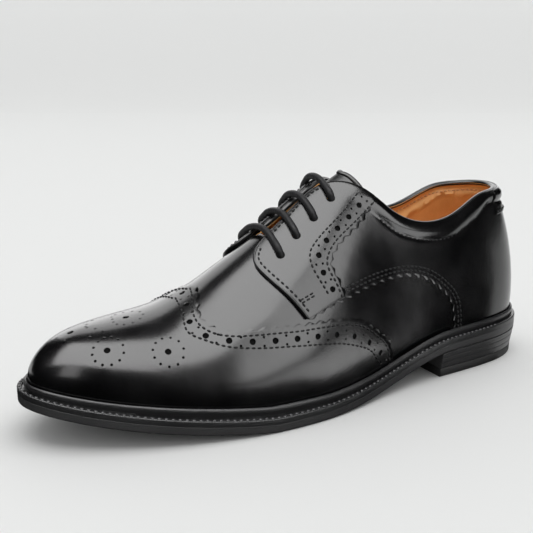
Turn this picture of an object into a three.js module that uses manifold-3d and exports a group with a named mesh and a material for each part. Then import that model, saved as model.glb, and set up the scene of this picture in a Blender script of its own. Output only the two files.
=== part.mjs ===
// A black leather derby with a brogued wing tip: a left shoe, standing empty on its sole.
// Millimetres. +Z is up, the toe points to -Y and the shoe's outer side to +X.
// The origin is on the floor, under the middle of the sole's length and width.
import * as THREE from "three";
import { mergeVertices } from "three/addons/utils/BufferGeometryUtils.js";
import Module from "manifold-3d";

const wasm = await Module();
wasm.setup();

// Driving sizes
const soleLength = 300;
const ballWidth = 104.5;
const instepHeight = 106;
const heelHeight = 16.3;
const toeSpring = 17.6;
const breastStation = 78;
const soleThickness = 4.4;
const soleEdgeBevel = 0.9;
const weltThickness = 3.5;
const weltShelf = 5.2;
const featherMargin = 7.6;
const beadHeight = 4;
const beadWidth = 1.9;
const rimWidth = 1.9;
const rimGroove = 1;
const topPieceThickness = 5;
const heelTaper = 1.6;
const heelLifts = 3;
const liftGroove = 0.3;
const wallThickness = 2;
const insoleThickness = 2.6;
const quarterThickness = 1.3;
const wingThickness = 1;
const facingThickness = 1.1;
const tabThickness = 0.9;
const collarPadding = 1.5;
const tongueThickness = 2.4;
const laceDiameter = 3.6;
const eyeletDiameter = 4.6;
const clearance = 0.3;
const tongueClearance = 1.2;
const facingClearance = 0.5;

// How many steps the round forms take between heel and toe.
const columns = 36;

// Half widths of the sole, as shares of the ball's width, at shares of its length from the heel.
const OUTLINE = [
  { at: 0, outer: 0, inner: 0 },
  { at: 0.04, outer: 0.246, inner: 0.244 },
  { at: 0.093, outer: 0.321, inner: 0.316 },
  { at: 0.167, outer: 0.356, inner: 0.33 },
  { at: 0.25, outer: 0.373, inner: 0.301 },
  { at: 0.333, outer: 0.394, inner: 0.273 },
  { at: 0.4, outer: 0.429, inner: 0.278 },
  { at: 0.467, outer: 0.475, inner: 0.321 },
  { at: 0.533, outer: 0.507, inner: 0.388 },
  { at: 0.6, outer: 0.517, inner: 0.45 },
  { at: 0.667, outer: 0.505, inner: 0.483 },
  { at: 0.733, outer: 0.469, inner: 0.478 },
  { at: 0.8, outer: 0.416, inner: 0.446 },
  { at: 0.86, outer: 0.349, inner: 0.389 },
  { at: 0.91, outer: 0.279, inner: 0.318 },
  { at: 0.953, outer: 0.199, inner: 0.231 },
  { at: 0.983, outer: 0.118, inner: 0.138 },
  { at: 1, outer: 0, inner: 0 },
];

// How far the upper's lower edge stands in from the sole's edge, as shares of the feather margin.
const FEATHER = [
  { at: 0, inset: 0.6 },
  { at: 0.2, inset: 0.71 },
  { at: 0.4, inset: 0.68 },
  { at: 0.667, inset: 1 },
  { at: 0.9, inset: 0.84 },
  { at: 1, inset: 0.9 },
];

// Height of the sole's underside: a share of the heel's height and a share of the toe spring.
// Below nothing is floor, which leaves the tread flat under the ball.
const SOLE_LINE = [
  { at: 0, heel: 1, spring: 0 },
  { at: 0.1, heel: 0.975, spring: 0 },
  { at: 0.2, heel: 0.933, spring: 0 },
  { at: 0.26, heel: 0.865, spring: 0 },
  { at: 0.333, heel: 0.564, spring: 0 },
  { at: 0.417, heel: 0.209, spring: 0 },
  { at: 0.5, heel: 0.03, spring: 0 },
  { at: 0.54, heel: -0.012, spring: 0 },
  { at: 0.587, heel: -0.015, spring: -0.014 },
  { at: 0.627, heel: 0, spring: -0.011 },
  { at: 0.667, heel: 0, spring: 0.051 },
  { at: 0.717, heel: 0, spring: 0.148 },
  { at: 0.8, heel: 0, spring: 0.341 },
  { at: 0.9, heel: 0, spring: 0.636 },
  { at: 1, heel: 0, spring: 1 },
];

// Height of the crest that the two sides of the last meet in, as shares of the instep's height.
const CREST = [
  { at: 0, height: 1.396 },
  { at: 0.133, height: 1.406 },
  { at: 0.233, height: 1.349 },
  { at: 0.317, height: 1.255 },
  { at: 0.373, height: 1.17 },
  { at: 0.42, height: 1.104 },
  { at: 0.48, height: 1 },
  { at: 0.547, height: 0.862 },
  { at: 0.623, height: 0.719 },
  { at: 0.683, height: 0.612 },
  { at: 0.75, height: 0.517 },
  { at: 0.82, height: 0.48 },
  { at: 0.883, height: 0.461 },
  { at: 0.95, height: 0.433 },
  { at: 1, height: 0.38 },
];

// The rib that climbs from the lower edge to the crest: how long it stays upright, how far it
// reaches level from the crest, and how far each side swells past its lower edge.
const RIBS = [
  { at: 0, rise: 0.47, reach: -0.3, outer: 0.23, inner: 0.23 },
  { at: 0.133, rise: 0.46, reach: 0.1, outer: 0.12, inner: 0.12 },
  { at: 0.267, rise: 0.44, reach: 0.39, outer: 0.09, inner: 0.06 },
  { at: 0.367, rise: 0.44, reach: 0.42, outer: 0.06, inner: 0.03 },
  { at: 0.467, rise: 0.45, reach: 0.44, outer: 0.05, inner: 0.02 },
  { at: 0.567, rise: 0.466, reach: 0.473, outer: 0.05, inner: 0.04 },
  { at: 0.667, rise: 0.495, reach: 0.524, outer: 0.05, inner: 0.05 },
  { at: 0.767, rise: 0.53, reach: 0.6, outer: 0.055, inner: 0.055 },
  { at: 0.867, rise: 0.57, reach: 0.7, outer: 0.068, inner: 0.068 },
  { at: 1, rise: 0.61, reach: 0.82, outer: 0.083, inner: 0.083 },
];

// Where the ribs of the toe and of the heel gather on the crest, and how softly.
const TOE_POLE = { at: 0.88, soft: 0.047 };
const HEEL_POLE = { at: 0.13, soft: 0.04 };

// Seams are drawn around the last (0 at the heel, 1 at the toe) and up it (0 at the lower edge,
// 1 at the crest), so they follow any change of its sizes.
const TOPLINE = [
  { around: 0, up: 0.448 },
  { around: 0.1, up: 0.445 },
  { around: 0.18, up: 0.441 },
  { around: 0.25, up: 0.434 },
  { around: 0.285, up: 0.416 },
  { around: 0.318, up: 0.404 },
  { around: 0.35, up: 0.417 },
  { around: 0.383, up: 0.472 },
  { around: 0.403, up: 0.54 },
  { around: 0.42, up: 0.632 },
  { around: 0.444, up: 0.768 },
  { around: 0.462, up: 0.858 },
  { around: 0.474, up: 0.905 },
  { around: 0.486, up: 0.928 },
  { around: 0.512, up: 0.92 },
  { around: 0.536, up: 0.9 },
  { around: 0.56, up: 0.87 },
];
const THROAT_END = 0.552;

// The flap's front edge, from the throat down to its lower corner, and on along the quarter's
// arched lower edge to the sole.
const FLAP_EDGE = [
  { around: 0.474, up: 0.925 },
  { around: 0.486, up: 0.933 },
  { around: 0.512, up: 0.92 },
  { around: 0.536, up: 0.898 },
  { around: 0.5505, up: 0.879 },
  { around: 0.5592, up: 0.864 },
  { around: 0.5688, up: 0.813 },
  { around: 0.5681, up: 0.691 },
  { around: 0.5511, up: 0.509 },
  { around: 0.5352, up: 0.366 },
  { around: 0.5112, up: 0.367 },
  { around: 0.4874, up: 0.36 },
  { around: 0.4614, up: 0.35 },
  { around: 0.432, up: 0.334 },
  { around: 0.4046, up: 0.31 },
  { around: 0.3879, up: 0.287 },
  { around: 0.3583, up: 0.232 },
  { around: 0.3342, up: 0.171 },
  { around: 0.318, up: 0.115 },
  { around: 0.3125, up: 0.06 },
  { around: 0.311, up: 0 },
];

// The rear edge of the facing, from its lower corner up to the collar.
const FACING_REAR = [
  { around: 0.4871, up: 0.36 },
  { around: 0.4932, up: 0.453 },
  { around: 0.496, up: 0.521 },
  { around: 0.4875, up: 0.555 },
  { around: 0.4701, up: 0.573 },
  { around: 0.4473, up: 0.587 },
  { around: 0.4212, up: 0.613 },
];

// The wing tip's upper edge, from the peak on the crest back to the sole.
const WING_EDGE = [
  { around: 0.636, up: 1 },
  { around: 0.6405, up: 0.895 },
  { around: 0.6505, up: 0.66 },
  { around: 0.642, up: 0.565 },
  { around: 0.623, up: 0.488 },
  { around: 0.595, up: 0.43 },
  { around: 0.57, up: 0.388 },
  { around: 0.547, up: 0.353 },
  { around: 0.525, up: 0.326 },
  { around: 0.496, up: 0.288 },
  { around: 0.464, up: 0.23 },
  { around: 0.439, up: 0.152 },
  { around: 0.424, up: 0.082 },
  { around: 0.421, up: 0 },
];

const QUARTER_END = 0.3125;
const CUFF_DEPTH = 0.085;
const TAB_REACH = 0.19;

// The four eyelets of each facing.
const EYELETS = [
  { around: 0.4726, up: 0.774 },
  { around: 0.4976, up: 0.751 },
  { around: 0.5213, up: 0.74 },
  { around: 0.5447, up: 0.71 },
];

const leather = (colour, roughness) =>
  new THREE.MeshStandardMaterial({ color: colour, roughness, metalness: 0 });
const boxCalf = leather(0x15151a, 0.28);
const tanLining = leather(0xd7965a, 0.75);
const edgeBlack = leather(0x1a1a1c, 0.5);
const topPieceBlack = leather(0x101012, 0.7);
const waxedCord = leather(0x0c0c0e, 0.6);

// Natural cubic spline through the columns x and y of a table's rows.
function spline(xs, ys) {
  const n = xs.length;
  const bend = new Array(n).fill(0);
  const upper = new Array(n).fill(0);
  const right = new Array(n).fill(0);
  for (let i = 1; i < n - 1; i++) {
    const before = xs[i] - xs[i - 1];
    const after = xs[i + 1] - xs[i];
    const slope = (ys[i + 1] - ys[i]) / after - (ys[i] - ys[i - 1]) / before;
    const pivot = 2 * (before + after) - before * upper[i - 1];
    upper[i] = after / pivot;
    right[i] = (6 * slope - before * right[i - 1]) / pivot;
  }
  for (let i = n - 2; i > 0; i--) bend[i] = right[i] - upper[i] * bend[i + 1];
  return (x) => {
    let i = 0;
    while (i < n - 2 && x > xs[i + 1]) i++;
    const h = xs[i + 1] - xs[i];
    const a = (xs[i + 1] - x) / h;
    const b = (x - xs[i]) / h;
    const curve = ((a ** 3 - a) * bend[i] + (b ** 3 - b) * bend[i + 1]) * h * h;
    return a * ys[i] + b * ys[i + 1] + curve / 6;
  };
}

const column = (rows, name) => rows.map((row) => row[name]);
const along = (rows, value) => spline(column(rows, "at"), rows.map(value));
const turnOf = (at) => Math.acos(1 - 2 * at);
const byTurn = (rows, value) => spline(column(rows, "at").map(turnOf), rows.map(value));

const outerHalf = byTurn(OUTLINE, (row) => row.outer * ballWidth);
const innerHalf = byTurn(OUTLINE, (row) => row.inner * ballWidth);
const featherInset = byTurn(FEATHER, (row) => row.inset * featherMargin);
const soleLine = along(SOLE_LINE, (row) => row.heel * heelHeight + row.spring * toeSpring);
const crestHeight = along(CREST, (row) => row.height * instepHeight);
const ribRise = along(RIBS, (row) => row.rise);
const ribReach = along(RIBS, (row) => row.reach);
const swellOuter = along(RIBS, (row) => row.outer);
const swellInner = along(RIBS, (row) => row.inner);

const clamp01 = (value) => Math.min(1, Math.max(0, value));
const underside = (station) => Math.max(0, soleLine(clamp01(station / soleLength)));
const featherTop = (station) => underside(station) + soleThickness + weltThickness;

// The sole's edge at a turn around it: 0 at the heel, 1 at the toe, 2 at the heel again.
function edgeAt(around) {
  const turn = ((around % 2) + 2) % 2;
  const outerSide = turn <= 1;
  const angle = Math.PI * (outerSide ? turn : 2 - turn);
  return {
    x: outerSide ? outerHalf(angle) : -innerHalf(angle),
    station: (soleLength * (1 - Math.cos(angle))) / 2,
    angle,
  };
}

// The same edge moved in by an inset.
function outline(around, inset) {
  const step = 1e-4;
  const here = edgeAt(around);
  const before = edgeAt(around - step);
  const after = edgeAt(around + step);
  const dx = after.x - before.x;
  const ds = after.station - before.station;
  const length = Math.hypot(dx, ds);
  return {
    x: here.x - (ds / length) * inset,
    station: here.station + (dx / length) * inset,
  };
}

const middle = soleLength / 2;
const place = (x, station, z) => new THREE.Vector3(x, middle - station, z);
const softPlus = (value) => Math.log1p(Math.exp(value));

function spineStation(station) {
  const toe = TOE_POLE.soft * soleLength;
  const heel = HEEL_POLE.soft * soleLength;
  return (
    station -
    toe * softPlus((station - TOE_POLE.at * soleLength) / toe) +
    heel * softPlus((HEEL_POLE.at * soleLength - station) / heel)
  );
}

// A point of the last.
function lastPoint(around, up) {
  const edge = edgeAt(around);
  const foot = outline(around, featherInset(edge.angle));
  const at = clamp01(foot.station / soleLength);
  const spine = spineStation(foot.station);
  const floor = featherTop(foot.station);
  const side = 0.5 * (1 + Math.tanh(foot.x / (0.057 * ballWidth)));
  const swell = swellOuter(at) * side + swellInner(at) * (1 - side);
  const low = 3 * up * (1 - up) ** 2;
  const high = 3 * up * up * (1 - up);
  const top = up ** 3;
  const climb = low * ribRise(at) + high + top;
  const inward = -low * swell + high * (1 - ribReach(at)) + top;
  const x = foot.x * (1 - inward);
  const station = foot.station + (spine - foot.station) * inward;
  const crest = crestHeight(clamp01(station / soleLength));
  return place(x, station, floor + (crest - floor) * climb);
}

function lastNormal(around, up) {
  const step = 1e-4;
  const acrossBy = lastPoint(around + step, up).sub(lastPoint(around - step, up));
  const high = Math.min(1, up + step);
  const low = Math.max(0, up - step);
  const upBy = lastPoint(around, high).sub(lastPoint(around, low));
  const normal = upBy.cross(acrossBy);
  if (up > 1 - step) normal.x = 0;
  return normal.normalize();
}

const lifted = (around, up, lift) =>
  lastPoint(around, up).addScaledVector(lastNormal(around, up), lift);

// How far up a rib a small height above its lower edge is.
function upForHeight(around, height) {
  const edge = edgeAt(around);
  const foot = outline(around, featherInset(edge.angle));
  const at = clamp01(foot.station / soleLength);
  return height / (3 * ribRise(at) * (crestHeight(at) - featherTop(foot.station)));
}

const topline = spline(column(TOPLINE, "around"), column(TOPLINE, "up"));
const topOf = (around) => (around >= THROAT_END ? 1 : Math.min(1, topline(around)));

// Signed distance to a closed line of seam points, more than 0 inside, in rough millimetres.
const AROUND_MM = 1.55 * soleLength;
const UP_MM = 0.95 * instepHeight;
function insideOf(line) {
  const points = line.map((row) => [row.around * AROUND_MM, row.up * UP_MM]);
  return (around, up) => {
    const px = around * AROUND_MM;
    const py = up * UP_MM;
    let nearest = Infinity;
    let within = false;
    points.forEach(([bx, by], i) => {
      const [ax, ay] = points[(i + points.length - 1) % points.length];
      const dx = bx - ax;
      const dy = by - ay;
      const share = clamp01(((px - ax) * dx + (py - ay) * dy) / (dx * dx + dy * dy));
      nearest = Math.min(nearest, Math.hypot(px - ax - dx * share, py - ay - dy * share));
      if (ay > py !== by > py && px < ax + (dx * (py - ay)) / dy) within = !within;
    });
    return within ? nearest : -nearest;
  };
}


// Rows of a panel's grid across the last, from the outer lower edge (0) over the crest (1) to
// the inner lower edge (2).
const evenly = (first, last, steps) => () =>
  Array.from({ length: steps + 1 }, (_, j) => first + ((last - first) * j) / steps);
// Rows at shares of the height up to the topline, on the outer or the inner side.
const outerRows = (shares) => (around) => shares.map((share) => share * topOf(around));
const innerRows = (shares) => (around) =>
  [...shares].reverse().map((share) => 2 - share * topOf(around));
const bothSides = (shares) => [outerRows(shares), innerRows(shares)];

const everywhere = () => 1;

// A closed solid panel between two lifts off the last, cut to where inside() is more than 0.
// Its grid runs around the last from heel to toe, and each strip gives the rows across it.
function panel({ inside, from, to, around, strips }) {
  const [firstAround, lastAround, columns] = around;
  const upper = [];
  const lower = [];
  const known = new Map();
  const liftOf = (lift, turn, up) => (typeof lift === "function" ? lift(turn, up) : lift);
  function vertex(u, w) {
    const turn = w <= 1 ? u : 2 - u;
    const up = w <= 1 ? w : 2 - w;
    const high = lifted(turn, up, liftOf(to, turn, up));
    const key = [high.x, high.y, high.z].map((v) => Math.round(v * 200)).join(" ");
    if (!known.has(key)) {
      known.set(key, upper.length);
      upper.push(high);
      lower.push(lifted(turn, up, liftOf(from, turn, up)));
    }
    return known.get(key);
  }
  const faces = [];
  function cell(corners) {
    const cut = [];
    corners.forEach((here, k) => {
      const next = corners[(k + 1) % corners.length];
      if (here.value > 0) cut.push(vertex(here.u, here.w));
      if (here.value > 0 !== next.value > 0) {
        const [p, q] = here.value > 0 ? [here, next] : [next, here];
        const share = Math.min(0.92, Math.max(0.08, p.value / (p.value - q.value)));
        cut.push(vertex(p.u + (q.u - p.u) * share, p.w + (q.w - p.w) * share));
      }
    });
    for (let k = 1; k + 1 < cut.length; k++) {
      const face = [cut[0], cut[k], cut[k + 1]];
      if (new Set(face).size === 3) faces.push(face);
    }
  }
  strips.forEach((rowsAt) => {
    const grid = [];
    for (let i = 0; i <= columns; i++) {
      const u = firstAround + ((lastAround - firstAround) * i) / columns;
      grid.push(rowsAt(u).map((w) => ({ u, w, value: inside(u, w <= 1 ? w : 2 - w) })));
    }
    for (let i = 0; i < columns; i++) {
      for (let j = 0; j + 1 < grid[i].length; j++) {
        cell([grid[i][j], grid[i + 1][j], grid[i + 1][j + 1], grid[i][j + 1]]);
      }
    }
  });
  const edges = new Set(faces.flatMap(([a, b, c]) => [`${a} ${b}`, `${b} ${c}`, `${c} ${a}`]));
  const count = upper.length;
  const triangles = [];
  faces.forEach(([a, b, c]) => {
    triangles.push(a, b, c);
    triangles.push(count + a, count + c, count + b);
  });
  edges.forEach((edge) => {
    const [a, b] = edge.split(" ").map(Number);
    if (edges.has(`${b} ${a}`)) return;
    triangles.push(b, a, count + a);
    triangles.push(b, count + a, count + b);
  });
  return closed([...upper, ...lower], triangles);
}

// A manifold-3d solid from points and triangles, turned so that its faces point out.
function closed(points, triangles) {
  let volume = 0;
  for (let i = 0; i < triangles.length; i += 3) {
    const [a, b, c] = [0, 1, 2].map((k) => points[triangles[i + k]]);
    volume += a.dot(new THREE.Vector3().crossVectors(b, c));
  }
  const order = volume > 0 ? [0, 1, 2] : [0, 2, 1];
  const triVerts = new Uint32Array(triangles.length);
  for (let i = 0; i < triangles.length; i += 3) {
    order.forEach((k, j) => {
      triVerts[i + j] = triangles[i + k];
    });
  }
  const vertProperties = new Float32Array(points.flatMap((p) => [p.x, p.y, p.z]));
  return new wasm.Manifold(new wasm.Mesh({ numProp: 3, vertProperties, triVerts }));
}

// A solid from a three.js geometry, for cuts.
function solidOf(geometry) {
  const bare = geometry.clone();
  bare.deleteAttribute("normal");
  bare.deleteAttribute("uv");
  const merged = mergeVertices(bare, 1e-4);
  const position = merged.getAttribute("position");
  const points = [];
  for (let i = 0; i < position.count; i++) {
    points.push(new THREE.Vector3().fromBufferAttribute(position, i));
  }
  return closed(points, [...merged.index.array]);
}

function meshOf(name, solid, material) {
  const data = solid.getMesh();
  const geometry = new THREE.BufferGeometry();
  geometry.setAttribute("position", new THREE.BufferAttribute(data.vertProperties, 3));
  geometry.setIndex(new THREE.BufferAttribute(data.triVerts, 1));
  geometry.computeVertexNormals();
  const mesh = new THREE.Mesh(geometry, material);
  mesh.name = name;
  return mesh;
}

// A plate built of rings around the sole's edge, from its bottom ring up to its top ring.
// Each ring gives an inset and a height over the sole's underside, both at a turn around it.
function plate(rings, columns) {
  const around = 2 * columns;
  const points = [];
  rings.forEach((ring) => {
    for (let k = 0; k < around; k++) {
      const turn = k / columns;
      const { inset, height } = ring(turn);
      const spot = outline(turn, inset);
      points.push(place(spot.x, spot.station, height(spot.station)));
    }
  });
  const triangles = [];
  const quad = (a, b, c, d) => triangles.push(a, b, c, a, c, d);
  for (let r = 0; r + 1 < rings.length; r++) {
    for (let k = 0; k < around; k++) {
      const next = (k + 1) % around;
      quad(r * around + k, r * around + next, (r + 1) * around + next, (r + 1) * around + k);
    }
  }
  const lid = (start, flip) => {
    for (let k = 0; k < columns; k++) {
      const left = [start + k, start + k + 1];
      const right = [start + around - k - 1, start + ((around - k) % around)];
      const strip = [...left, ...right];
      const kept = strip.filter((value, i) => strip.indexOf(value) === i);
      const faces = kept.length === 4 ? [[0, 1, 2], [0, 2, 3]] : [[0, 1, 2]];
      faces.forEach(([a, b, c]) => {
        if (flip) triangles.push(kept[a], kept[c], kept[b]);
        else triangles.push(kept[a], kept[b], kept[c]);
      });
    }
  };
  lid(0, true);
  lid((rings.length - 1) * around, false);
  return closed(points, triangles);
}

// A closed band around the shoe with one cross-section, given as points at each turn.
function band(sectionAt, columns) {
  const points = [];
  const around = 2 * columns;
  let sides = 0;
  for (let k = 0; k < around; k++) {
    const section = sectionAt(k / columns);
    sides = section.length;
    points.push(...section);
  }
  const triangles = [];
  for (let k = 0; k < around; k++) {
    const next = (k + 1) % around;
    for (let j = 0; j < sides; j++) {
      const over = (j + 1) % sides;
      const a = k * sides + j;
      const b = next * sides + j;
      triangles.push(a, b, next * sides + over, a, next * sides + over, k * sides + over);
    }
  }
  return closed(points, triangles);
}

// A block under the sole from the heel's back to its breast, built of rings from the floor up.
function heelBlock(rings, columns) {
  const breastTurn = turnOf(breastStation / soleLength) / Math.PI;
  const around = 2 * columns + 1;
  const points = [];
  rings.forEach(({ inset, height }) => {
    for (let k = -columns; k <= columns; k++) {
      const spot = outline((breastTurn * k) / columns, inset);
      const end = Math.abs(k) === columns;
      const station = end ? breastStation : Math.min(spot.station, breastStation);
      points.push(place(spot.x, station, height(station)));
    }
  });
  const triangles = [];
  for (let r = 0; r + 1 < rings.length; r++) {
    for (let k = 0; k < around; k++) {
      const next = (k + 1) % around;
      const a = r * around;
      const b = a + around;
      triangles.push(a + k, a + next, b + next, a + k, b + next, b + k);
    }
  }
  const lid = (start, flip) => {
    const back = start + columns;
    for (let k = 0; k < columns; k++) {
      const [a, b, c, d] = [back + k, back + k + 1, back - k - 1, back - k];
      const faces = k === 0 ? [[a, b, c]] : [[a, b, c], [a, c, d]];
      faces.forEach(([p, q, r]) => triangles.push(...(flip ? [p, r, q] : [p, q, r])));
    }
  };
  lid(0, true);
  lid((rings.length - 1) * around, false);
  return closed(points, triangles);
}

const over = (height) => (station) => underside(station) + height;

function makeOutsole() {
  const ring = (inset, height) => () => ({ inset, height: over(height) });
  return plate(
    [
      ring(soleEdgeBevel, 0),
      ring(0, soleEdgeBevel),
      ring(0, soleThickness - clearance / 2),
    ],
    columns,
  );
}

// The welt is a flat shelf with a raised rim at its edge and a bead that hugs the upper.
function makeWelt() {
  const low = soleThickness + clearance / 2;
  const flat = soleThickness + weltThickness - clearance;
  return band((turn) => {
    const edge = edgeAt(turn);
    const feather = featherInset(edge.angle);
    const half = turn <= 1 ? turn : 2 - turn;
    const quarter = quarterThickness * clamp01((QUARTER_END + 0.04 - half) / 0.02);
    const gap = clearance + quarter;
    const at = (inset, height) => {
      const spot = outline(turn, inset);
      return place(spot.x, spot.station, underside(spot.station) + height);
    };
    const beadTop = upForHeight(turn, beadHeight);
    const beadLow = upForHeight(turn, beadHeight / 2);
    const crown = lifted(turn, beadTop, gap + beadWidth / 2);
    return [
      at(0.2, low),
      at(0, flat - 0.6),
      at(0.5, flat),
      at(rimWidth, flat),
      at(rimWidth + 0.3, flat - rimGroove),
      at(Math.max(rimWidth + 0.8, feather - beadWidth - gap), flat - rimGroove),
      lifted(turn, beadLow, gap + beadWidth),
      crown,
      lifted(turn, beadTop, gap + 0.3),
      lifted(turn, beadLow, gap),
      at(feather - gap, flat),
      at(feather + weltShelf, flat),
      at(feather + weltShelf, low),
    ];
  }, columns);
}

function makeHeelStack() {
  const rings = [];
  const top = (station) => underside(station) - clearance;
  const bottom = topPieceThickness + clearance;
  for (let lift = 0; lift < heelLifts; lift++) {
    const share = (part) => (lift + part) / heelLifts;
    const ringAt = (part, groove) => ({
      inset: heelTaper * (1 - share(part)) + groove,
      height: (station) => bottom + (top(station) - bottom) * share(part),
    });
    rings.push(ringAt(0, liftGroove), ringAt(0.12, 0), ringAt(0.88, 0));
    if (lift === heelLifts - 1) rings.push(ringAt(1, liftGroove));
  }
  return heelBlock(rings, 14);
}

function makeTopPiece() {
  const ring = (inset, level) => ({ inset, height: () => level });
  return heelBlock(
    [
      ring(heelTaper + 0.8, 0),
      ring(heelTaper + 0.2, 0.6),
      ring(heelTaper, topPieceThickness - 0.3),
      ring(heelTaper + 0.3, topPieceThickness),
    ],
    14,
  );
}

// The insole fills the welt's ring below and reaches from wall to wall above it.
function makeInsole() {
  const under = soleThickness + clearance;
  const shelf = soleThickness + weltThickness + clearance;
  const ring = (inset, height) => (turn) => ({
    inset: featherInset(edgeAt(turn).angle) + inset,
    height: over(height),
  });
  return plate(
    [
      ring(weltShelf + 2 * clearance, under),
      ring(weltShelf + 2 * clearance, shelf),
      ring(wallThickness + 0.8, shelf),
      ring(wallThickness + 0.8, shelf + insoleThickness),
    ],
    30,
  );
}

// The collar's padded cuff swells between its seam and the topline.
function cuffSwell(around, up) {
  const turn = around <= 1 ? around : 2 - around;
  if (turn > 0.5) return 0;
  const depth = (topOf(turn) - up) / CUFF_DEPTH;
  if (depth < 0 || depth > 1) return 0;
  const front = clamp01((0.46 - turn) / 0.05);
  return collarPadding * Math.sin(Math.PI * depth) * front;
}

// The finished skin of the quarter, under whatever is laid over it.
const quarterSkin = (around, up) => quarterThickness + cuffSwell(around, up);
const overQuarter = (lift) => (around, up) =>
  quarterThickness + facingClearance + lift + 1.2 * cuffSwell(around, up);

const inFlap = insideOf([
  ...FLAP_EDGE,
  { around: -0.2, up: 0 },
  { around: -0.2, up: 1.4 },
  { around: 0.474, up: 1.4 },
]);
const inFacing = insideOf([
  ...FLAP_EDGE.slice(0, 12),
  ...FACING_REAR,
  { around: 0.42, up: 0.9 },
  { around: 0.462, up: 1.1 },
]);

function eyeletHole({ around, up }, inner) {
  const turn = inner ? 2 - around : around;
  const point = lastPoint(turn, up);
  const normal = lastNormal(turn, up);
  const hole = new THREE.CylinderGeometry(eyeletDiameter / 2, eyeletDiameter / 2, 14, 12);
  const turned = new THREE.Quaternion().setFromUnitVectors(new THREE.Vector3(0, 1, 0), normal);
  hole.applyQuaternion(turned);
  hole.translate(point.x, point.y, point.z);
  return solidOf(hole);
}
const holes = [false, true].flatMap((inner) => EYELETS.map((spot) => eyeletHole(spot, inner)));
const withHoles = (solid) => holes.reduce((rest, hole) => rest.subtract(hole), solid);

function makeUpper() {
  const shares = [0, 0.12, 0.28, 0.45, 0.62, 0.78, 0.86, 0.93, 1];
  const shell = panel({
    inside: everywhere,
    from: -wallThickness,
    to: cuffSwell,
    around: [0, 1, columns],
    strips: bothSides(shares),
  });
  const quarters = bothSides(shares).map((rows) =>
    panel({
      inside: inFlap,
      from: -wallThickness / 2,
      to: quarterSkin,
      around: [0, 0.58, Math.round(0.58 * columns)],
      strips: [rows],
    }),
  );
  return withHoles(quarters.reduce((all, quarter) => all.add(quarter), shell));
}

function makeFacing(inner) {
  const shares = Array.from({ length: 10 }, (_, j) => 0.34 + (0.655 * j) / 9);
  return withHoles(
    panel({
      inside: inFacing,
      from: overQuarter(0),
      to: overQuarter(facingThickness),
      around: [0.41, 0.58, 12],
      strips: [inner ? innerRows(shares) : outerRows(shares)],
    }),
  );
}

const inWing = insideOf([
  ...WING_EDGE,
  { around: 0.421, up: -0.4 },
  { around: 1.4, up: -0.4 },
  { around: 1.4, up: 1.4 },
  { around: 0.636, up: 1.4 },
]);

function makeWingTip() {
  const rows = (around) => {
    const start = upForHeight(around, beadHeight + 1);
    return evenly(start, 2 - start, 22)();
  };
  return panel({
    inside: inWing,
    from: clearance,
    to: clearance + wingThickness,
    around: [0.4, 1, 22],
    strips: [rows],
  });
}

function makeTab() {
  const shares = [0.805, 0.86, 0.92, 0.97, 0.995];
  return panel({
    inside: everywhere,
    from: overQuarter(0),
    to: overQuarter(tabThickness),
    around: [0, TAB_REACH, 7],
    strips: bothSides(shares),
  });
}

// The tongue lies under both facings and stands a little above them at its top.
function makeTongue() {
  const half = [
    { around: 0.548, up: 0.82 },
    { around: 0.5, up: 0.75 },
    { around: 0.452, up: 0.76 },
    { around: 0.444, up: 0.83 },
    { around: 0.441, up: 0.9 },
    { around: 0.44, up: 1.2 },
    { around: 0.548, up: 1.2 },
  ];
  return panel({
    inside: insideOf(half),
    from: -wallThickness - tongueClearance - tongueThickness,
    to: -wallThickness - tongueClearance,
    around: [0.43, 0.56, 12],
    strips: [evenly(0.7, 1.3, 12)],
  });
}

// One lace bar: up through the outer eyelet, level over the throat and down the inner one.
function makeLaceBar({ around, up }) {
  const radius = laceDiameter / 2;
  const rest = quarterThickness + facingClearance + facingThickness + clearance + radius;
  const outer = (lift, along) => lifted(around, up + (1 - up) * along, lift);
  const inner = (lift, along) => lifted(2 - around, up + (1 - up) * along, lift);
  const route = [
    outer(-wallThickness - 0.2, 0),
    outer(0.6, 0),
    outer(rest - 0.3, 0.02),
    outer(rest + 0.5, 0.3),
    outer(rest + 0.5, 0.65),
    inner(rest + 0.5, 0.65),
    inner(rest + 0.5, 0.3),
    inner(rest - 0.3, 0.02),
    inner(0.6, 0),
    inner(-wallThickness - 0.2, 0),
  ];
  const section = new THREE.Shape();
  for (let k = 0; k < 8; k++) {
    const angle = (k * Math.PI) / 4;
    const spot = [radius * Math.cos(angle), radius * Math.sin(angle)];
    if (k === 0) section.moveTo(...spot);
    else section.lineTo(...spot);
  }
  const path = new THREE.CatmullRomCurve3(route, false, "centripetal");
  return solidOf(new THREE.ExtrudeGeometry(section, { steps: 13, extrudePath: path }));
}

const widest = (half) => {
  let most = 0;
  for (let k = 0; k <= 72; k++) most = Math.max(most, half((k * Math.PI) / 72));
  return most;
};

const shoe = new THREE.Group();
shoe.add(
  meshOf("outsole", makeOutsole(), edgeBlack),
  meshOf("welt", makeWelt(), edgeBlack),
  meshOf("heel_stack", makeHeelStack(), edgeBlack),
  meshOf("heel_top_piece", makeTopPiece(), topPieceBlack),
  meshOf("insole", makeInsole(), tanLining),
  meshOf("upper", makeUpper(), boxCalf),
  meshOf("tongue", makeTongue(), boxCalf),
  meshOf("wing_tip", makeWingTip(), boxCalf),
  meshOf("facing_outer", makeFacing(false), boxCalf),
  meshOf("facing_inner", makeFacing(true), boxCalf),
  meshOf("heel_tab", makeTab(), boxCalf),
);
EYELETS.forEach((spot, i) => {
  shoe.add(meshOf(`lace_bar_${i + 1}`, makeLaceBar(spot), waxedCord));
});
shoe.position.x = (widest(innerHalf) - widest(outerHalf)) / 2;

export default shoe;
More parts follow.
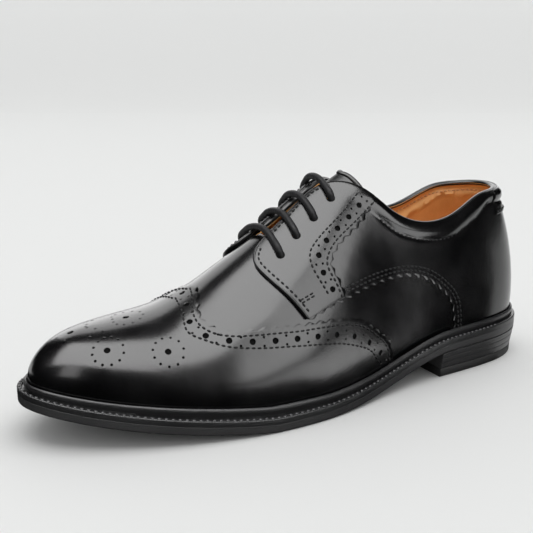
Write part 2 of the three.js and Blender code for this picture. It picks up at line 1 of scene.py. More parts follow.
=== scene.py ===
# A black leather derby with a brogued wing tip: the finished leather, linings, stitches, laces,
# welt and heel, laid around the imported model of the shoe.
import math

import bpy
import numpy as np
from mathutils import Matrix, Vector


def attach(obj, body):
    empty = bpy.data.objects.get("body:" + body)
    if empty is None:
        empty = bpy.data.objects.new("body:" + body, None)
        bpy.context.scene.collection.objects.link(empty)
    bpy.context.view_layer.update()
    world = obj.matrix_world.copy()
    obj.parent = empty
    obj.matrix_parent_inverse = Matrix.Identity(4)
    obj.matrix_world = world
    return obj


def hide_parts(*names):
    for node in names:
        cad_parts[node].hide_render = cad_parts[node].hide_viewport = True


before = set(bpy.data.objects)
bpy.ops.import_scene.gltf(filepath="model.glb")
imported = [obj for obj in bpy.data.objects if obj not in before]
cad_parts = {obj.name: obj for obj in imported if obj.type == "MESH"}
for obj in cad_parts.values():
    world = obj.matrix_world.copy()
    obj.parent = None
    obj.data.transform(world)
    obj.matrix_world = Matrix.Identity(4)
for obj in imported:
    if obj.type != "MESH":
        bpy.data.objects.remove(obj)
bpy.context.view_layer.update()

bpy.ops.object.select_all(action="DESELECT")

# Lengths below are in millimetres. The scene is in metres.
MM = 0.001

# Driving sizes of the last and the sole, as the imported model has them.
SOLE_LENGTH = 300
BALL_WIDTH = 104.5
INSTEP_HEIGHT = 106
HEEL_HEIGHT = 16.3
TOE_SPRING = 17.6
BREAST_STATION = 78
SOLE_THICKNESS = 4.4
SOLE_EDGE_BEVEL = 0.9
WELT_THICKNESS = 3.5
WELT_SHELF = 5.2
FEATHER_MARGIN = 7.6
BEAD_WIDTH = 1.9
BEAD_HEIGHT = 4.0
RIM_WIDTH = 1.9
RIM_GROOVE = 1.0
TOP_PIECE_THICKNESS = 5
HEEL_TAPER = 1.6
HEEL_LIFTS = 3
COLLAR_PADDING = 1.5
LACE_DIAMETER = 3.6
BRAID_TURNS = 17
BRAID_DEPTH = 0.07
EYELET_DIAMETER = 4.6

# Layers of the upper, as heights over the last.
WALL = 2.0
LINING = 0.8
VAMP = 1.2
QUARTER = 1.3
WING = 1.0
FACING = 1.1
TAB = 0.9
TONGUE = 2.4
TONGUE_DEPTH = 3.2
AIR = 0.04
ON_QUARTER = AIR + QUARTER
ON_FACING = 2 * AIR + QUARTER + FACING
ON_TAB = 2 * AIR + QUARTER + TAB
ON_WING = 2 * AIR + WING

# Edges and small pieces.
BINDING_RADIUS = 1.5
BINDING_RISE = 0.7
FOLDED_EDGE_RADIUS = 0.95
FOLDED_EDGE_LIFT = 1.55
TONGUE_RIM_RADIUS = 1.5
GRIP_THICKNESS = 0.7
SOCK_HOLLOW = 0.5
HEEL_SEAM_DEPTH = 0.28
HEEL_GAP = 0.05
# A lift's edge, as shares of its height and insets of the seams above and below it.
LIFT_PROFILE = ((0, HEEL_SEAM_DEPTH), (0.05, 0.05), (0.14, 0), (0.86, 0), (0.95, 0.05))

# Seams, punching and gimping.
STITCH_PITCH = 2.9
STITCH_LENGTH = 2.2
STITCH_THICKNESS = 1.1
WELT_STITCH_PITCH = 3.2
GIMP_PITCH = 6.0
GIMP_DEPTH = 1.7
LARGE_PUNCH = 3.2
SMALL_PUNCH = 1.35
WING_PUNCH_PITCH = 11.3
WING_PAIR_SPREAD = 2.1
FACING_PUNCH_PITCH = 9.2
FACING_PUNCH_START = 6.5
FACING_PAIR_SPREAD = 1.7
WING_SEAM_INSET = 2.0
ARCH_SEAM_INSETS = (1.9, 4.1)
FACING_REAR_INSET = 1.7
FACING_FRONT_INSET = 2.1
FACING_TOP_INSET = 2.3
BAR_TACK_SPREAD = 0.75
THREAD_LIFT = 0.08

# Half widths of the sole as shares of the ball's width, at shares of its length.
OUTLINE = {
    "at": (0, 0.04, 0.093, 0.167, 0.25, 0.333, 0.4, 0.467, 0.533,
           0.6, 0.667, 0.733, 0.8, 0.86, 0.91, 0.953, 0.983, 1),
    "outer": (0, 0.246, 0.321, 0.356, 0.373, 0.394, 0.429, 0.475, 0.507,
              0.517, 0.505, 0.469, 0.416, 0.349, 0.279, 0.199, 0.118, 0),
    "inner": (0, 0.244, 0.316, 0.33, 0.301, 0.273, 0.278, 0.321, 0.388,
              0.45, 0.483, 0.478, 0.446, 0.389, 0.318, 0.231, 0.138, 0),
}
FEATHER = {"at": (0, 0.2, 0.4, 0.667, 0.9, 1), "inset": (0.6, 0.71, 0.68, 1, 0.84, 0.9)}
SOLE_LINE = {
    "at": (0, 0.1, 0.2, 0.26, 0.333, 0.417, 0.5, 0.54, 0.587, 0.627, 0.667, 0.717, 0.8, 0.9, 1),
    "heel": (1, 0.975, 0.933, 0.865, 0.564, 0.209, 0.03, -0.012, -0.015, 0, 0, 0, 0, 0, 0),
    "spring": (0, 0, 0, 0, 0, 0, 0, 0, -0.014, -0.011, 0.051, 0.148, 0.341, 0.636, 1),
}
CREST = {
    "at": (0, 0.133, 0.233, 0.317, 0.373, 0.42, 0.48, 0.547,
           0.623, 0.683, 0.75, 0.82, 0.883, 0.95, 1),
    "height": (1.396, 1.406, 1.349, 1.255, 1.17, 1.104, 1, 0.862,
               0.719, 0.612, 0.517, 0.48, 0.461, 0.433, 0.38),
}
RIBS = {
    "at": (0, 0.133, 0.267, 0.367, 0.467, 0.567, 0.667, 0.767, 0.867, 1),
    "rise": (0.47, 0.46, 0.44, 0.44, 0.45, 0.466, 0.495, 0.53, 0.57, 0.61),
    "reach": (-0.3, 0.1, 0.39, 0.42, 0.44, 0.473, 0.524, 0.6, 0.7, 0.82),
    "outer": (0.23, 0.12, 0.09, 0.06, 0.05, 0.05, 0.05, 0.055, 0.068, 0.083),
    "inner": (0.23, 0.12, 0.06, 0.03, 0.02, 0.04, 0.05, 0.055, 0.068, 0.083),
}
TOE_POLE = {"at": 0.88, "soft": 0.047}
HEEL_POLE = {"at": 0.13, "soft": 0.04}

# Seam points: how far around the last (0 heel, 1 toe) and how far up it (0 edge, 1 crest).
TOPLINE = (
    (0, 0.448), (0.1, 0.445), (0.18, 0.441), (0.25, 0.434), (0.285, 0.416), (0.318, 0.404),
    (0.35, 0.417), (0.383, 0.472), (0.403, 0.54), (0.42, 0.632), (0.444, 0.768),
    (0.462, 0.858), (0.474, 0.905), (0.486, 0.928), (0.512, 0.92), (0.536, 0.9),
)
TOPLINE_DIVIDE = 0.27
FLAP_TOP = ((0.5505, 0.881), (0.5592, 0.864))
FLAP_FRONT = ((0.5352, 0.366), (0.5511, 0.509), (0.5681, 0.691), (0.5688, 0.813), (0.5592, 0.864))
ARC_SEAM = (
    (0.311, 0), (0.3125, 0.06), (0.318, 0.115), (0.3342, 0.171), (0.3583, 0.232),
    (0.3879, 0.287), (0.4046, 0.31), (0.432, 0.334), (0.4614, 0.35), (0.4874, 0.36),
    (0.5112, 0.367), (0.5352, 0.366),
)
FACING_REAR = (
    (0.4871, 0.36), (0.4932, 0.453), (0.496, 0.521), (0.4875, 0.555),
    (0.4701, 0.573), (0.4473, 0.587), (0.4235, 0.61),
)
VAMP_REAR = 0.29
FACING_CORNER = (0.4235, 0.648)
FACING_FOOT = ((0.4871, 0.36), (0.5112, 0.367), (0.5352, 0.366))
HEEL_RIB = ((0, 0), (0, 0.15), (0, 0.3), (0, 0.448))
QUARTER_FOOT = ((0, 0), (0.1, 0), (0.2, 0), (0.311, 0))
LINING_FOOT = ((0, 0), (0.2, 0), (0.4, 0), (0.56, 0))
LINING_FRONT = ((0.56, 0), (0.566, 0.3), (0.568, 0.6), (0.5592, 0.864))
LINING_SEAM = ((0.33, 0.36), (0.335, 0.25), (0.34, 0.12), (0.345, 0.02))
STRIP_FRONT = (
    (0.4425, 0.705), (0.4629, 0.674), (0.4888, 0.655), (0.5074, 0.637), (0.514, 0.62),
    (0.5171, 0.585), (0.5142, 0.5), (0.5062, 0.402),
)
WING_EDGE = (
    (0.636, 1), (0.6405, 0.895), (0.6505, 0.66), (0.642, 0.565), (0.623, 0.488),
    (0.595, 0.43), (0.57, 0.388), (0.547, 0.353), (0.525, 0.326), (0.496, 0.288),
    (0.464, 0.23), (0.439, 0.152), (0.424, 0.082), (0.421, 0),
)
WING_LOWER_SEAM = (
    (0.661, 1), (0.664, 0.87), (0.6664, 0.768), (0.6692, 0.611), (0.656, 0.522),
    (0.6336, 0.423), (0.6039, 0.355), (0.5746, 0.309), (0.5389, 0.261), (0.5002, 0.209),
    (0.4726, 0.158), (0.4518, 0.103), (0.4418, 0.048),
)
EYELETS = ((0.4726, 0.774), (0.4976, 0.751), (0.5213, 0.74), (0.5447, 0.71))
BAR_TACK = ((0.541, 0.45), (0.533, 0.449), (0.5249, 0.448))

# The medallion's flowers: the middle hole's place, the radius of its ring and the ring's holes.
# Those that lie off the middle line are on both sides.
FLOWERS = (
    {"at": (1.0, 0.83), "both": False, "radius": 7.0, "petals": 11},
    {"at": (0.744, 0.98), "both": False, "radius": 7.6, "petals": 12},
    {"at": (0.7872, 0.579), "both": True, "radius": 7.1, "petals": 12},
    {"at": (0.7007, 0.501), "both": True, "radius": 7.2, "petals": 11},
)

# The cuff's depth below the topline, as a share of the rib, at turns around the last.
CUFF = {
    "at": (0, 0.19, 0.2186, 0.25, 0.2827, 0.3154, 0.3488, 0.378, 0.4017, 0.421, 0.46, 0.5),
    "depth": (0.05, 0.042, 0.042, 0.06, 0.064, 0.066, 0.062, 0.064, 0.078, 0.1, 0.11, 0.11),
}
TAB_REACH = 0.19
TAB_FOOT = ((0.0, 0.368), (0.09, 0.366), (TAB_REACH - 0.006, 0.362))

# The tongue's top edge and half width, and the heel grip, in the same turns and shares of a rib.
TONGUE_TOP = {
    "side": (-1, -0.7, -0.35, 0, 0.35, 0.7, 1),
    "turn": (0.4265, 0.4335, 0.4405, 0.4455, 0.4405, 0.4335, 0.4265),
}
TONGUE_FOOT_TURN = 0.558
TONGUE_HALF = {"down": (0, 0.12, 0.5, 0.9, 1), "width": (0.31, 0.3, 0.26, 0.2, 0.18)}
GRIP = {"reach": 0.2, "foot": 0.03, "top": 0.325, "drop": 0.14}

# Rough lengths of one turn around the last and of one rib, for spacing seam points.
TURN_LENGTH = 465
RIB_LENGTH = 100

# Where a pattern lies: False is the outer side and True the inner one.
BOTH = (False, True)


def spline(xs, ys):
    """A natural cubic spline through points, as a function of an array."""
    xs = np.array(xs, float)
    ys = np.array(ys, float)
    steps = np.diff(xs)
    system = np.eye(len(xs))
    right = np.zeros(len(xs))
    for i in range(1, len(xs) - 1):
        system[i, i - 1 : i + 2] = steps[i - 1], 2 * (steps[i - 1] + steps[i]), steps[i]
        right[i] = 6 * ((ys[i + 1] - ys[i]) / steps[i] - (ys[i] - ys[i - 1]) / steps[i - 1])
    bend = np.linalg.solve(system, right)

    def value(x):
        x = np.asarray(x, float)
        k = np.clip(np.searchsorted(xs, x) - 1, 0, len(xs) - 2)
        h = steps[k]
        a = (xs[k + 1] - x) / h
        b = (x - xs[k]) / h
        curve = ((a**3 - a) * bend[k] + (b**3 - b) * bend[k + 1]) * h * h
        return a * ys[k] + b * ys[k + 1] + curve / 6

    return value


def turn_of(at):
    return np.arccos(1 - 2 * np.asarray(at, float))


outer_half = spline(turn_of(OUTLINE["at"]), np.array(OUTLINE["outer"]) * BALL_WIDTH)
inner_half = spline(turn_of(OUTLINE["at"]), np.array(OUTLINE["inner"]) * BALL_WIDTH)
feather_inset = spline(turn_of(FEATHER["at"]), np.array(FEATHER["inset"]) * FEATHER_MARGIN)
sole_line = spline(
    SOLE_LINE["at"],
    np.array(SOLE_LINE["heel"]) * HEEL_HEIGHT + np.array(SOLE_LINE["spring"]) * TOE_SPRING,
)
crest_height = spline(CREST["at"], np.array(CREST["height"]) * INSTEP_HEIGHT)
rib = {name: spline(RIBS["at"], RIBS[name]) for name in ("rise", "reach", "outer", "inner")}
topline_up = spline(*zip(*(TOPLINE + ((0.56, 0.87),))))
cuff_depth = spline(CUFF["at"], CUFF["depth"])

sweep = np.linspace(0, math.pi, 73)
MIDDLE_SHIFT = (inner_half(sweep).max() - outer_half(sweep).max()) / 2


def underside(station):
    return np.maximum(0, sole_line(np.clip(station / SOLE_LENGTH, 0, 1)))


def edge_at(turn):
    """The sole's edge: x, station and angle at a turn from 0, the heel, over 1, the toe, to 2."""
    turn = np.mod(turn, 2.0)
    outer_side = turn <= 1
    angle = math.pi * np.where(outer_side, turn, 2 - turn)
    x = np.where(outer_side, outer_half(angle), -inner_half(angle))
    return x, SOLE_LENGTH * (1 - np.cos(angle)) / 2, angle


def outline(turn, inset):
    """The same edge moved in by an inset."""
    step = 1e-4
    x, station, _ = edge_at(turn)
    x_before, station_before, _ = edge_at(turn - step)
    x_after, station_after, _ = edge_at(turn + step)
    dx = x_after - x_before
    ds = station_after - station_before
    length = np.hypot(dx, ds)
    return x - ds / length * inset, station + dx / length * inset


def place(x, station, z):
    return np.stack([x + MIDDLE_SHIFT, SOLE_LENGTH / 2 - station, z], -1)


def spine_station(station):
    toe = TOE_POLE["soft"] * SOLE_LENGTH
    heel = HEEL_POLE["soft"] * SOLE_LENGTH
    past_toe = np.logaddexp(0, (station - TOE_POLE["at"] * SOLE_LENGTH) / toe)
    past_heel = np.logaddexp(0, (HEEL_POLE["at"] * SOLE_LENGTH - station) / heel)
    return station - toe * past_toe + heel * past_heel


def last_point(turn, up):
    """A point of the last."""
    turn, up = np.broadcast_arrays(np.asarray(turn, float), np.asarray(up, float))
    _, _, angle = edge_at(turn)
    foot_x, foot_station = outline(turn, feather_inset(angle))
    at = np.clip(foot_station / SOLE_LENGTH, 0, 1)
    floor = underside(foot_station) + SOLE_THICKNESS + WELT_THICKNESS
    side = 0.5 * (1 + np.tanh(foot_x / (0.057 * BALL_WIDTH)))
    swell = rib["outer"](at) * side + rib["inner"](at) * (1 - side)
    low = 3 * up * (1 - up) ** 2
    high = 3 * up**2 * (1 - up)
    climb = low * rib["rise"](at) + high + up**3
    inward = -low * swell + high * (1 - rib["reach"](at)) + up**3
    station = foot_station + (spine_station(foot_station) - foot_station) * inward
    crest = crest_height(np.clip(station / SOLE_LENGTH, 0, 1))
    return place(foot_x * (1 - inward), station, floor + (crest - floor) * climb)


def unit(vectors):
    return vectors / np.maximum(np.linalg.norm(vectors, axis=-1, keepdims=True), 1e-12)


def last_slopes(turn, up):
    """How far a point of the last moves for each unit around it, and for each unit up it."""
    step = 1e-4
    turn, up = np.broadcast_arrays(np.asarray(turn, float), np.asarray(up, float))
    around_by = (last_point(turn + step, up) - last_point(turn - step, up)) / (2 * step)
    high = np.minimum(1, up + step)
    low = np.maximum(0, up - step)
    up_by = (last_point(turn, high) - last_point(turn, low)) / (high - low)[..., None]
    return around_by, up_by


def last_normal(turn, up):
    around_by, up_by = last_slopes(turn, up)
    normal = np.cross(up_by, around_by)
    normal[..., 0] = np.where(np.broadcast_to(up, normal.shape[:-1]) > 0.9999, 0, normal[..., 0])
    return unit(normal)


def lifted(turn, up, lift):
    lift = np.broadcast_to(lift, np.broadcast(turn, up).shape)
    return last_point(turn, up) + last_normal(turn, up) * lift[..., None]


def up_for_height(turn, height):
    """How far up a rib a small height above its lower edge is."""
    _, _, angle = edge_at(turn)
    _, station = outline(turn, feather_inset(angle))
    at = np.clip(station / SOLE_LENGTH, 0, 1)
    floor = underside(station) + SOLE_THICKNESS + WELT_THICKNESS
    return height / (3 * rib["rise"](at) * (crest_height(at) - floor))


def cuff_swell(turn, up):
    """The padded cuff between its seam and the topline, and the trough of that seam."""
    turn = np.mod(turn, 2.0)
    half = np.minimum(turn, 2 - turn)
    depth = (np.minimum(1, topline_up(half)) - up) / cuff_depth(np.minimum(half, 0.5))
    front = np.clip((0.46 - half) / 0.05, 0, 1)
    swell = COLLAR_PADDING * np.sin(np.pi * np.clip(depth, 0, 1))
    trough = 0.7 * np.exp(-(((depth - 1.02) / 0.12) ** 2))
    return np.where(half > 0.5, 0, (swell - trough * np.clip((0.43 - half) / 0.04, 0, 1)) * front)


# Soft waves of the lasted leather, in rows of place, spread and height over the last.
WAVES = (
    {"at": (0.50, 0.20), "spread": (0.020, 0.16), "height": -0.22},
    {"at": (0.55, 0.24), "spread": (0.018, 0.14), "height": 0.18},
    {"at": (0.60, 0.30), "spread": (0.020, 0.16), "height": -0.20},
    {"at": (0.40, 0.14), "spread": (0.026, 0.12), "height": -0.20},
    {"at": (0.24, 0.20), "spread": (0.050, 0.10), "height": -0.25},
    {"at": (0.12, 0.28), "spread": (0.040, 0.10), "height": 0.20},
    {"at": (0.62, 0.80), "spread": (0.018, 0.16), "height": -0.22},
    {"at": (0.655, 0.78), "spread": (0.016, 0.20), "height": 0.15},
)


def wave(turn, up):
    turn = np.mod(turn, 2.0)
    half = np.minimum(turn, 2 - turn)
    total = np.zeros(np.broadcast(half, up).shape)
    for row in WAVES:
        around = (half - row["at"][0]) / row["spread"][0]
        across = (up - row["at"][1]) / row["spread"][1]
        total = total + row["height"] * np.exp(-(around**2) - across**2)
    return total


def on_skin(turn, up, lift):
    """A point of the dressed upper: a height over the last with its padding and waves."""
    return lifted(turn, up, lift + cuff_swell(turn, up) + wave(turn, up))


# Seam lines on the last.
def side_turn(around, inner):
    return 2 - around if inner else around


def over_crest(around, across):
    """Turns and heights of points that run up to the crest, 1, and down the other side, to 2."""
    first = across <= 1
    return np.where(first, around, 2 - around), np.where(first, across, 2 - across)


def travel_along(places):
    """How far along a line of places each of them is."""
    return np.concatenate([[0], np.cumsum(np.linalg.norm(np.diff(places, axis=0), axis=1))])


def even(points, count):
    """A smooth line through seam points, in count equal steps along the last."""
    points = np.array(points, float)
    travel = travel_along(points * (TURN_LENGTH, RIB_LENGTH))
    fine = np.linspace(0, travel[-1], 600)
    line = np.stack([spline(travel, points[:, 0])(fine), spline(travel, points[:, 1])(fine)], -1)
    line[:, 1] = np.clip(line[:, 1], 0, 1)
    places = last_point(line[:, 0], line[:, 1])
    length = travel_along(places)
    stops = np.linspace(0, length[-1], count + 1)
    return np.stack([np.interp(stops, length, line[:, k]) for k in (0, 1)], -1)


def seam_length(points):
    line = even(points, 200)
    return travel_along(last_point(line[:, 0], line[:, 1]))[-1]


def beside(line, distance):
    """A seam line moved sideways over the last: to its left, seen from outside, when positive."""
    around_by, up_by = last_slopes(line[:, 0], line[:, 1])
    normal = unit(np.cross(up_by, around_by))
    places = last_point(line[:, 0], line[:, 1])
    along = unit(np.gradient(places, axis=0))
    move = np.cross(normal, along) * distance
    moved = []
    for k in range(len(line)):
        slopes = np.stack([around_by[k], up_by[k]], -1)
        moved.append(line[k] + np.linalg.lstsq(slopes, move[k], rcond=None)[0])
    moved = np.array(moved)
    moved[:, 1] = np.clip(moved[:, 1], 0, 1)
    return moved


def patch(bottom, top, left, right):
    """The grid of seam points that four edges span."""
    a = np.linspace(0, 1, len(bottom))[:, None, None]
    b = np.linspace(0, 1, len(left))[None, :, None]
    across = (1 - b) * bottom[:, None] + b * top[:, None]
    upward = (1 - a) * left[None] + a * right[None]
    corners = (1 - b) * ((1 - a) * bottom[0] + a * bottom[-1])
    corners = corners + b * ((1 - a) * top[0] + a * top[-1])
    return across + upward - corners


# Making pieces.
def only(piece):
    bpy.ops.object.select_all(action="DESELECT")
    piece.select_set(True)
    bpy.context.view_layer.objects.active = piece


def edit(piece, operation, **settings):
    """Runs an edit-mode operator on the whole piece."""
    only(piece)
    bpy.ops.object.mode_set(mode="EDIT")
    bpy.ops.mesh.select_all(action="SELECT")
    operation(**settings)
    bpy.ops.object.mode_set(mode="OBJECT")


def vertex_places(piece):
    flat = np.empty(len(piece.data.vertices) * 3)
    piece.data.vertices.foreach_get("co", flat)
    return flat.reshape(-1, 3)


def set_vertex_places(piece, places):
    piece.data.vertices.foreach_set("co", np.ascontiguousarray(places, dtype=float).ravel())
    piece.data.update()


def sheet_of(name, places, facing_from=None):
    """A grid whose vertices lie at places[i, j].

    An open one faces away from a line along the shoe, whose x and z are facing_from. A closed
    one needs no such line and faces outwards.
    """
    across, along = places.shape[0] - 1, places.shape[1] - 1
    bpy.ops.mesh.primitive_grid_add(x_subdivisions=across, y_subdivisions=along, size=2)
    piece = bpy.context.object
    piece.name = name
    flat = vertex_places(piece)
    i = np.rint((flat[:, 0] + 1) / 2 * across).astype(int)
    j = np.rint((flat[:, 1] + 1) / 2 * along).astype(int)
    set_vertex_places(piece, places[i, j] * MM)
    edit(piece, bpy.ops.mesh.remove_doubles, threshold=5e-6)
    if facing_from is None:
        edit(piece, bpy.ops.mesh.normals_make_consistent, inside=False)
        return piece
    outward = 0
    for face in piece.data.polygons:
        middle = Vector((facing_from[0] * MM, face.center.y, facing_from[1] * MM))
        outward += face.normal.dot(face.center - middle) * face.area
    if outward < 0:
        edit(piece, bpy.ops.mesh.flip_normals)
    return piece


def apply(piece, kind, **settings):
    """Adds a modifier and applies it."""
    only(piece)
    modifier = piece.modifiers.new(kind.title(), kind)
    for key, value in settings.items():
        setattr(modifier, key, value)
    bpy.ops.object.modifier_apply(modifier=modifier.name)
    return piece


def thicken(piece, thickness, edge=0.3, inner_material=0):
    """Gives a sheet its thickness inwards and rounds its cut edges."""
    apply(
        piece, "SOLIDIFY", thickness=thickness * MM, offset=-1, use_even_offset=False,
        use_quality_normals=True, material_offset=inner_material,
    )
    apply(
        piece, "BEVEL", width=edge * MM, segments=2, limit_method="ANGLE",
        angle_limit=math.radians(50), use_clamp_overlap=True,
    )
    return piece


def smooth(piece, angle=38):
    only(piece)
    bpy.ops.object.shade_smooth_by_angle(angle=math.radians(angle))
    return piece


def dress(piece, materials, nodes=()):
    """Gives a piece its materials, its body and the nodes that it stands for."""
    for index, material in enumerate(materials):
        if index < len(piece.data.materials):
            piece.data.materials[index] = material
        else:
            piece.data.materials.append(material)
    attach(piece, "root")
    if nodes:
        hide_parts(*nodes)
    return piece


def axes_at(line, inner, lift):
    """Places and the along, across and outward axes at each point of a seam line."""
    turn = side_turn(line[:, 0], inner)
    places = on_skin(turn, line[:, 1], lift)
    outward = last_normal(turn, line[:, 1])
    along = unit(np.gradient(places, axis=0))
    across = unit(np.cross(outward, along))
    return places, np.stack([unit(np.cross(across, outward)), across, outward], 1)


def copies(name, pattern, places, axes):
    """One joined mesh with a copy of a modelled pattern at each place, turned to its axes."""
    shape = vertex_places(pattern)
    faces = [tuple(face.vertices) for face in pattern.data.polygons]
    spots = (shape @ axes + places[:, None, :]) * MM
    count = len(shape)
    joined = [tuple(v + k * count for v in face) for k in range(len(places)) for face in faces]
    mesh = bpy.data.meshes.new(name)
    mesh.from_pydata(spots.reshape(-1, 3).tolist(), [], joined)
    mesh.update()
    piece = bpy.data.objects.new(name, mesh)
    bpy.context.scene.collection.objects.link(piece)
    bpy.data.objects.remove(pattern)
    return piece


def stitch_pattern():
    """One stitch: a short thread that dips into the leather at both ends."""
    bpy.ops.mesh.primitive_uv_sphere_add(segments=6, ring_count=6, radius=1)
    pattern = bpy.context.object
    shape = vertex_places(pattern)
    bent = np.stack(
        [
            shape[:, 2] * STITCH_LENGTH / 2,
            shape[:, 0] * STITCH_THICKNESS / 2,
            shape[:, 1] * STITCH_THICKNESS / 2 - 0.25 * shape[:, 2] ** 4,
        ],
        -1,
    )
    set_vertex_places(pattern, bent)
    return pattern


def punch_pattern(diameter, depth, sides):
    """A punch that cuts a round hole from above the skin to a depth under it."""
    bpy.ops.mesh.primitive_cylinder_add(vertices=sides, radius=diameter / 2, depth=depth)
    return bpy.context.object


def cut_holes(piece, punches):
    """Cuts punches out of a piece and keeps the skin's own shading around the holes."""
    uncut = piece.copy()
    uncut.data = piece.data.copy()
    bpy.context.scene.collection.objects.link(uncut)
    for punch in punches:
        before = len(piece.data.vertices)
        apply(piece, "BOOLEAN", operation="DIFFERENCE", solver="MANIFOLD", object=punch)
        if len(piece.data.vertices) == before:
            raise ValueError(f"{piece.name} was not cut by {punch.name}")
        bpy.data.objects.remove(punch)
    smooth(piece)
    apply(
        piece, "DATA_TRANSFER", object=uncut, use_loop_data=True,
        data_types_loops={"CUSTOM_NORMAL"}, loop_mapping="POLYINTERP_NEAREST",
        use_max_distance=True, max_distance=0.05 * MM,
    )
    bpy.data.objects.remove(uncut)
    return piece


# Materials. All but the matte black of the holes have their own grain or weave, on the object's
# own coordinates.
def finish_of(name, colour, roughness, **sockets):
    """A new material with its tree and shader. Sockets are named with _ for a space."""
    material = bpy.data.materials.new(name)
    material.use_nodes = True
    shader = material.node_tree.nodes["Principled BSDF"]
    shader.inputs["Base Color"].default_value = (*colour, 1)
    shader.inputs["Roughness"].default_value = roughness
    for socket, value in sockets.items():
        shader.inputs[socket.replace("_", " ")].default_value = value
    return material, material.node_tree, shader


def node(tree, kind, settings=None, **sockets):
    made = tree.nodes.new(kind)
    for key, value in (settings or {}).items():
        setattr(made, key, value)
    for socket, value in sockets.items():
        made.inputs[socket.replace("_", " ")].default_value = value
    return made


def stretched_coordinates(tree, scale=(1, 1, 1)):
    coordinates = node(tree, "ShaderNodeTexCoord")
    mapping = node(tree, "ShaderNodeMapping", Scale=scale)
    tree.links.new(coordinates.outputs["Object"], mapping.inputs["Vector"])
    return mapping.outputs["Vector"]


def noise(tree, vector, scale, detail=3, roughness=0.5):
    made = node(tree, "ShaderNodeTexNoise", Scale=scale, Detail=detail, Roughness=roughness)
    tree.links.new(vector, made.inputs["Vector"])
    return made.outputs["Fac"]


def bump(tree, shader, heights):
    """Stacks bumps of (height output, strength, depth in metres) onto a shader."""
    last = None
    for height, strength, depth in heights:
        made = node(tree, "ShaderNodeBump", Strength=strength, Distance=depth)
        tree.links.new(height, made.inputs["Height"])
        if last is not None:
            tree.links.new(last, made.inputs["Normal"])
        last = made.outputs["Normal"]
    tree.links.new(last, shader.inputs["Normal"])


def spread_between(tree, fac, low, high, socket):
    made = node(tree, "ShaderNodeMapRange", To_Min=low, To_Max=high, From_Min=0.3, From_Max=0.7)
    tree.links.new(fac, made.inputs["Value"])
    tree.links.new(made.outputs["Result"], socket)


def colour_between(tree, fac, first, second, socket, low=0.35, high=0.65):
    made = node(tree, "ShaderNodeValToRGB")
    made.color_ramp.elements[0].position = low
    made.color_ramp.elements[1].position = high
    made.color_ramp.elements[0].color = (*first, 1)
    made.color_ramp.elements[1].color = (*second, 1)
    tree.links.new(fac, made.inputs["Fac"])
    tree.links.new(made.outputs["Color"], socket)


def box_calf(name, roughness, pores):
    """Polished black calf: a fine tight grain under a thin glossy coat."""
    material, tree, shader = finish_of(
        name, (0.003, 0.003, 0.0034), roughness,
        Specular_IOR_Level=0.5, Coat_Weight=0.3, Coat_Roughness=0.14, Coat_IOR=1.5,
    )
    vector = stretched_coordinates(tree)
    grain = node(tree, "ShaderNodeTexVoronoi", {"feature": "SMOOTH_F1"}, Scale=1500)
    grain.inputs["Smoothness"].default_value = 0.7
    tree.links.new(vector, grain.inputs["Vector"])
    soft = noise(tree, vector, 160, detail=2)
    mottle = noise(tree, vector, 55, detail=4)
    spread_between(tree, mottle, roughness - 0.035, roughness + 0.045, shader.inputs["Roughness"])
    colour_between(
        tree, mottle, (0.002, 0.002, 0.0023), (0.0034, 0.0034, 0.0038), shader.inputs["Base Color"]
    )
    bump(tree, shader, [(soft, 0.10, 0.0006), (grain.outputs["Distance"], pores, 0.00012)])
    return material


def tan_lining():
    """Vegetable-tanned lining leather: warm, matte and a little mottled."""
    material, tree, shader = finish_of("tan_lining_leather", (0.86, 0.46, 0.18), 0.62)
    vector = stretched_coordinates(tree)
    mottle = noise(tree, vector, 45, detail=5, roughness=0.6)
    colour_between(
        tree, mottle, (0.76, 0.33, 0.07), (0.92, 0.47, 0.14), shader.inputs["Base Color"],
        0.3, 0.7,
    )
    pores = node(tree, "ShaderNodeTexVoronoi", Scale=1300)
    tree.links.new(vector, pores.inputs["Vector"])
    wrinkles = noise(tree, vector, 130, detail=3)
    bump(tree, shader, [(wrinkles, 0.25, 0.0008), (pores.outputs["Distance"], 0.25, 0.0002)])
    return material


def suede_grip():
    """The brushed inner face of the same tan leather."""
    material, tree, shader = finish_of(
        "brushed_suede", (0.62, 0.28, 0.1), 0.9, Sheen_Weight=0.35, Sheen_Roughness=0.4
    )
    vector = stretched_coordinates(tree)
    nap = noise(tree, vector, 900, detail=4, roughness=0.7)
    cloud = noise(tree, vector, 60, detail=3)
    colour_between(
        tree, cloud, (0.52, 0.21, 0.05), (0.66, 0.29, 0.08), shader.inputs["Base Color"]
    )
    bump(tree, shader, [(cloud, 0.2, 0.0008), (nap, 0.5, 0.0003)])
    return material


def brushed_edge(name, colour, roughness, line_scale):
    """Inked and waxed leather edge with fine lines that run along it."""
    material, tree, shader = finish_of(
        name, colour, roughness, Coat_Weight=0.15, Coat_Roughness=0.3
    )
    vector = stretched_coordinates(tree, (6, 6, line_scale))
    lines = noise(tree, vector, 18, detail=5, roughness=0.65)
    cloud = noise(tree, stretched_coordinates(tree), 50, detail=3)
    spread_between(tree, cloud, roughness - 0.06, roughness + 0.09, shader.inputs["Roughness"])
    bump(tree, shader, [(lines, 0.35, 0.0006)])
    return material


def rubber_tread():
    """Dull black rubber with a fine speckle."""
    material, tree, shader = finish_of("black_rubber", (0.012, 0.012, 0.012), 0.62)
    vector = stretched_coordinates(tree)
    speckle = noise(tree, vector, 700, detail=3)
    cloud = noise(tree, vector, 40, detail=3)
    spread_between(tree, cloud, 0.55, 0.7, shader.inputs["Roughness"])
    bump(tree, shader, [(speckle, 0.35, 0.0002)])
    return material


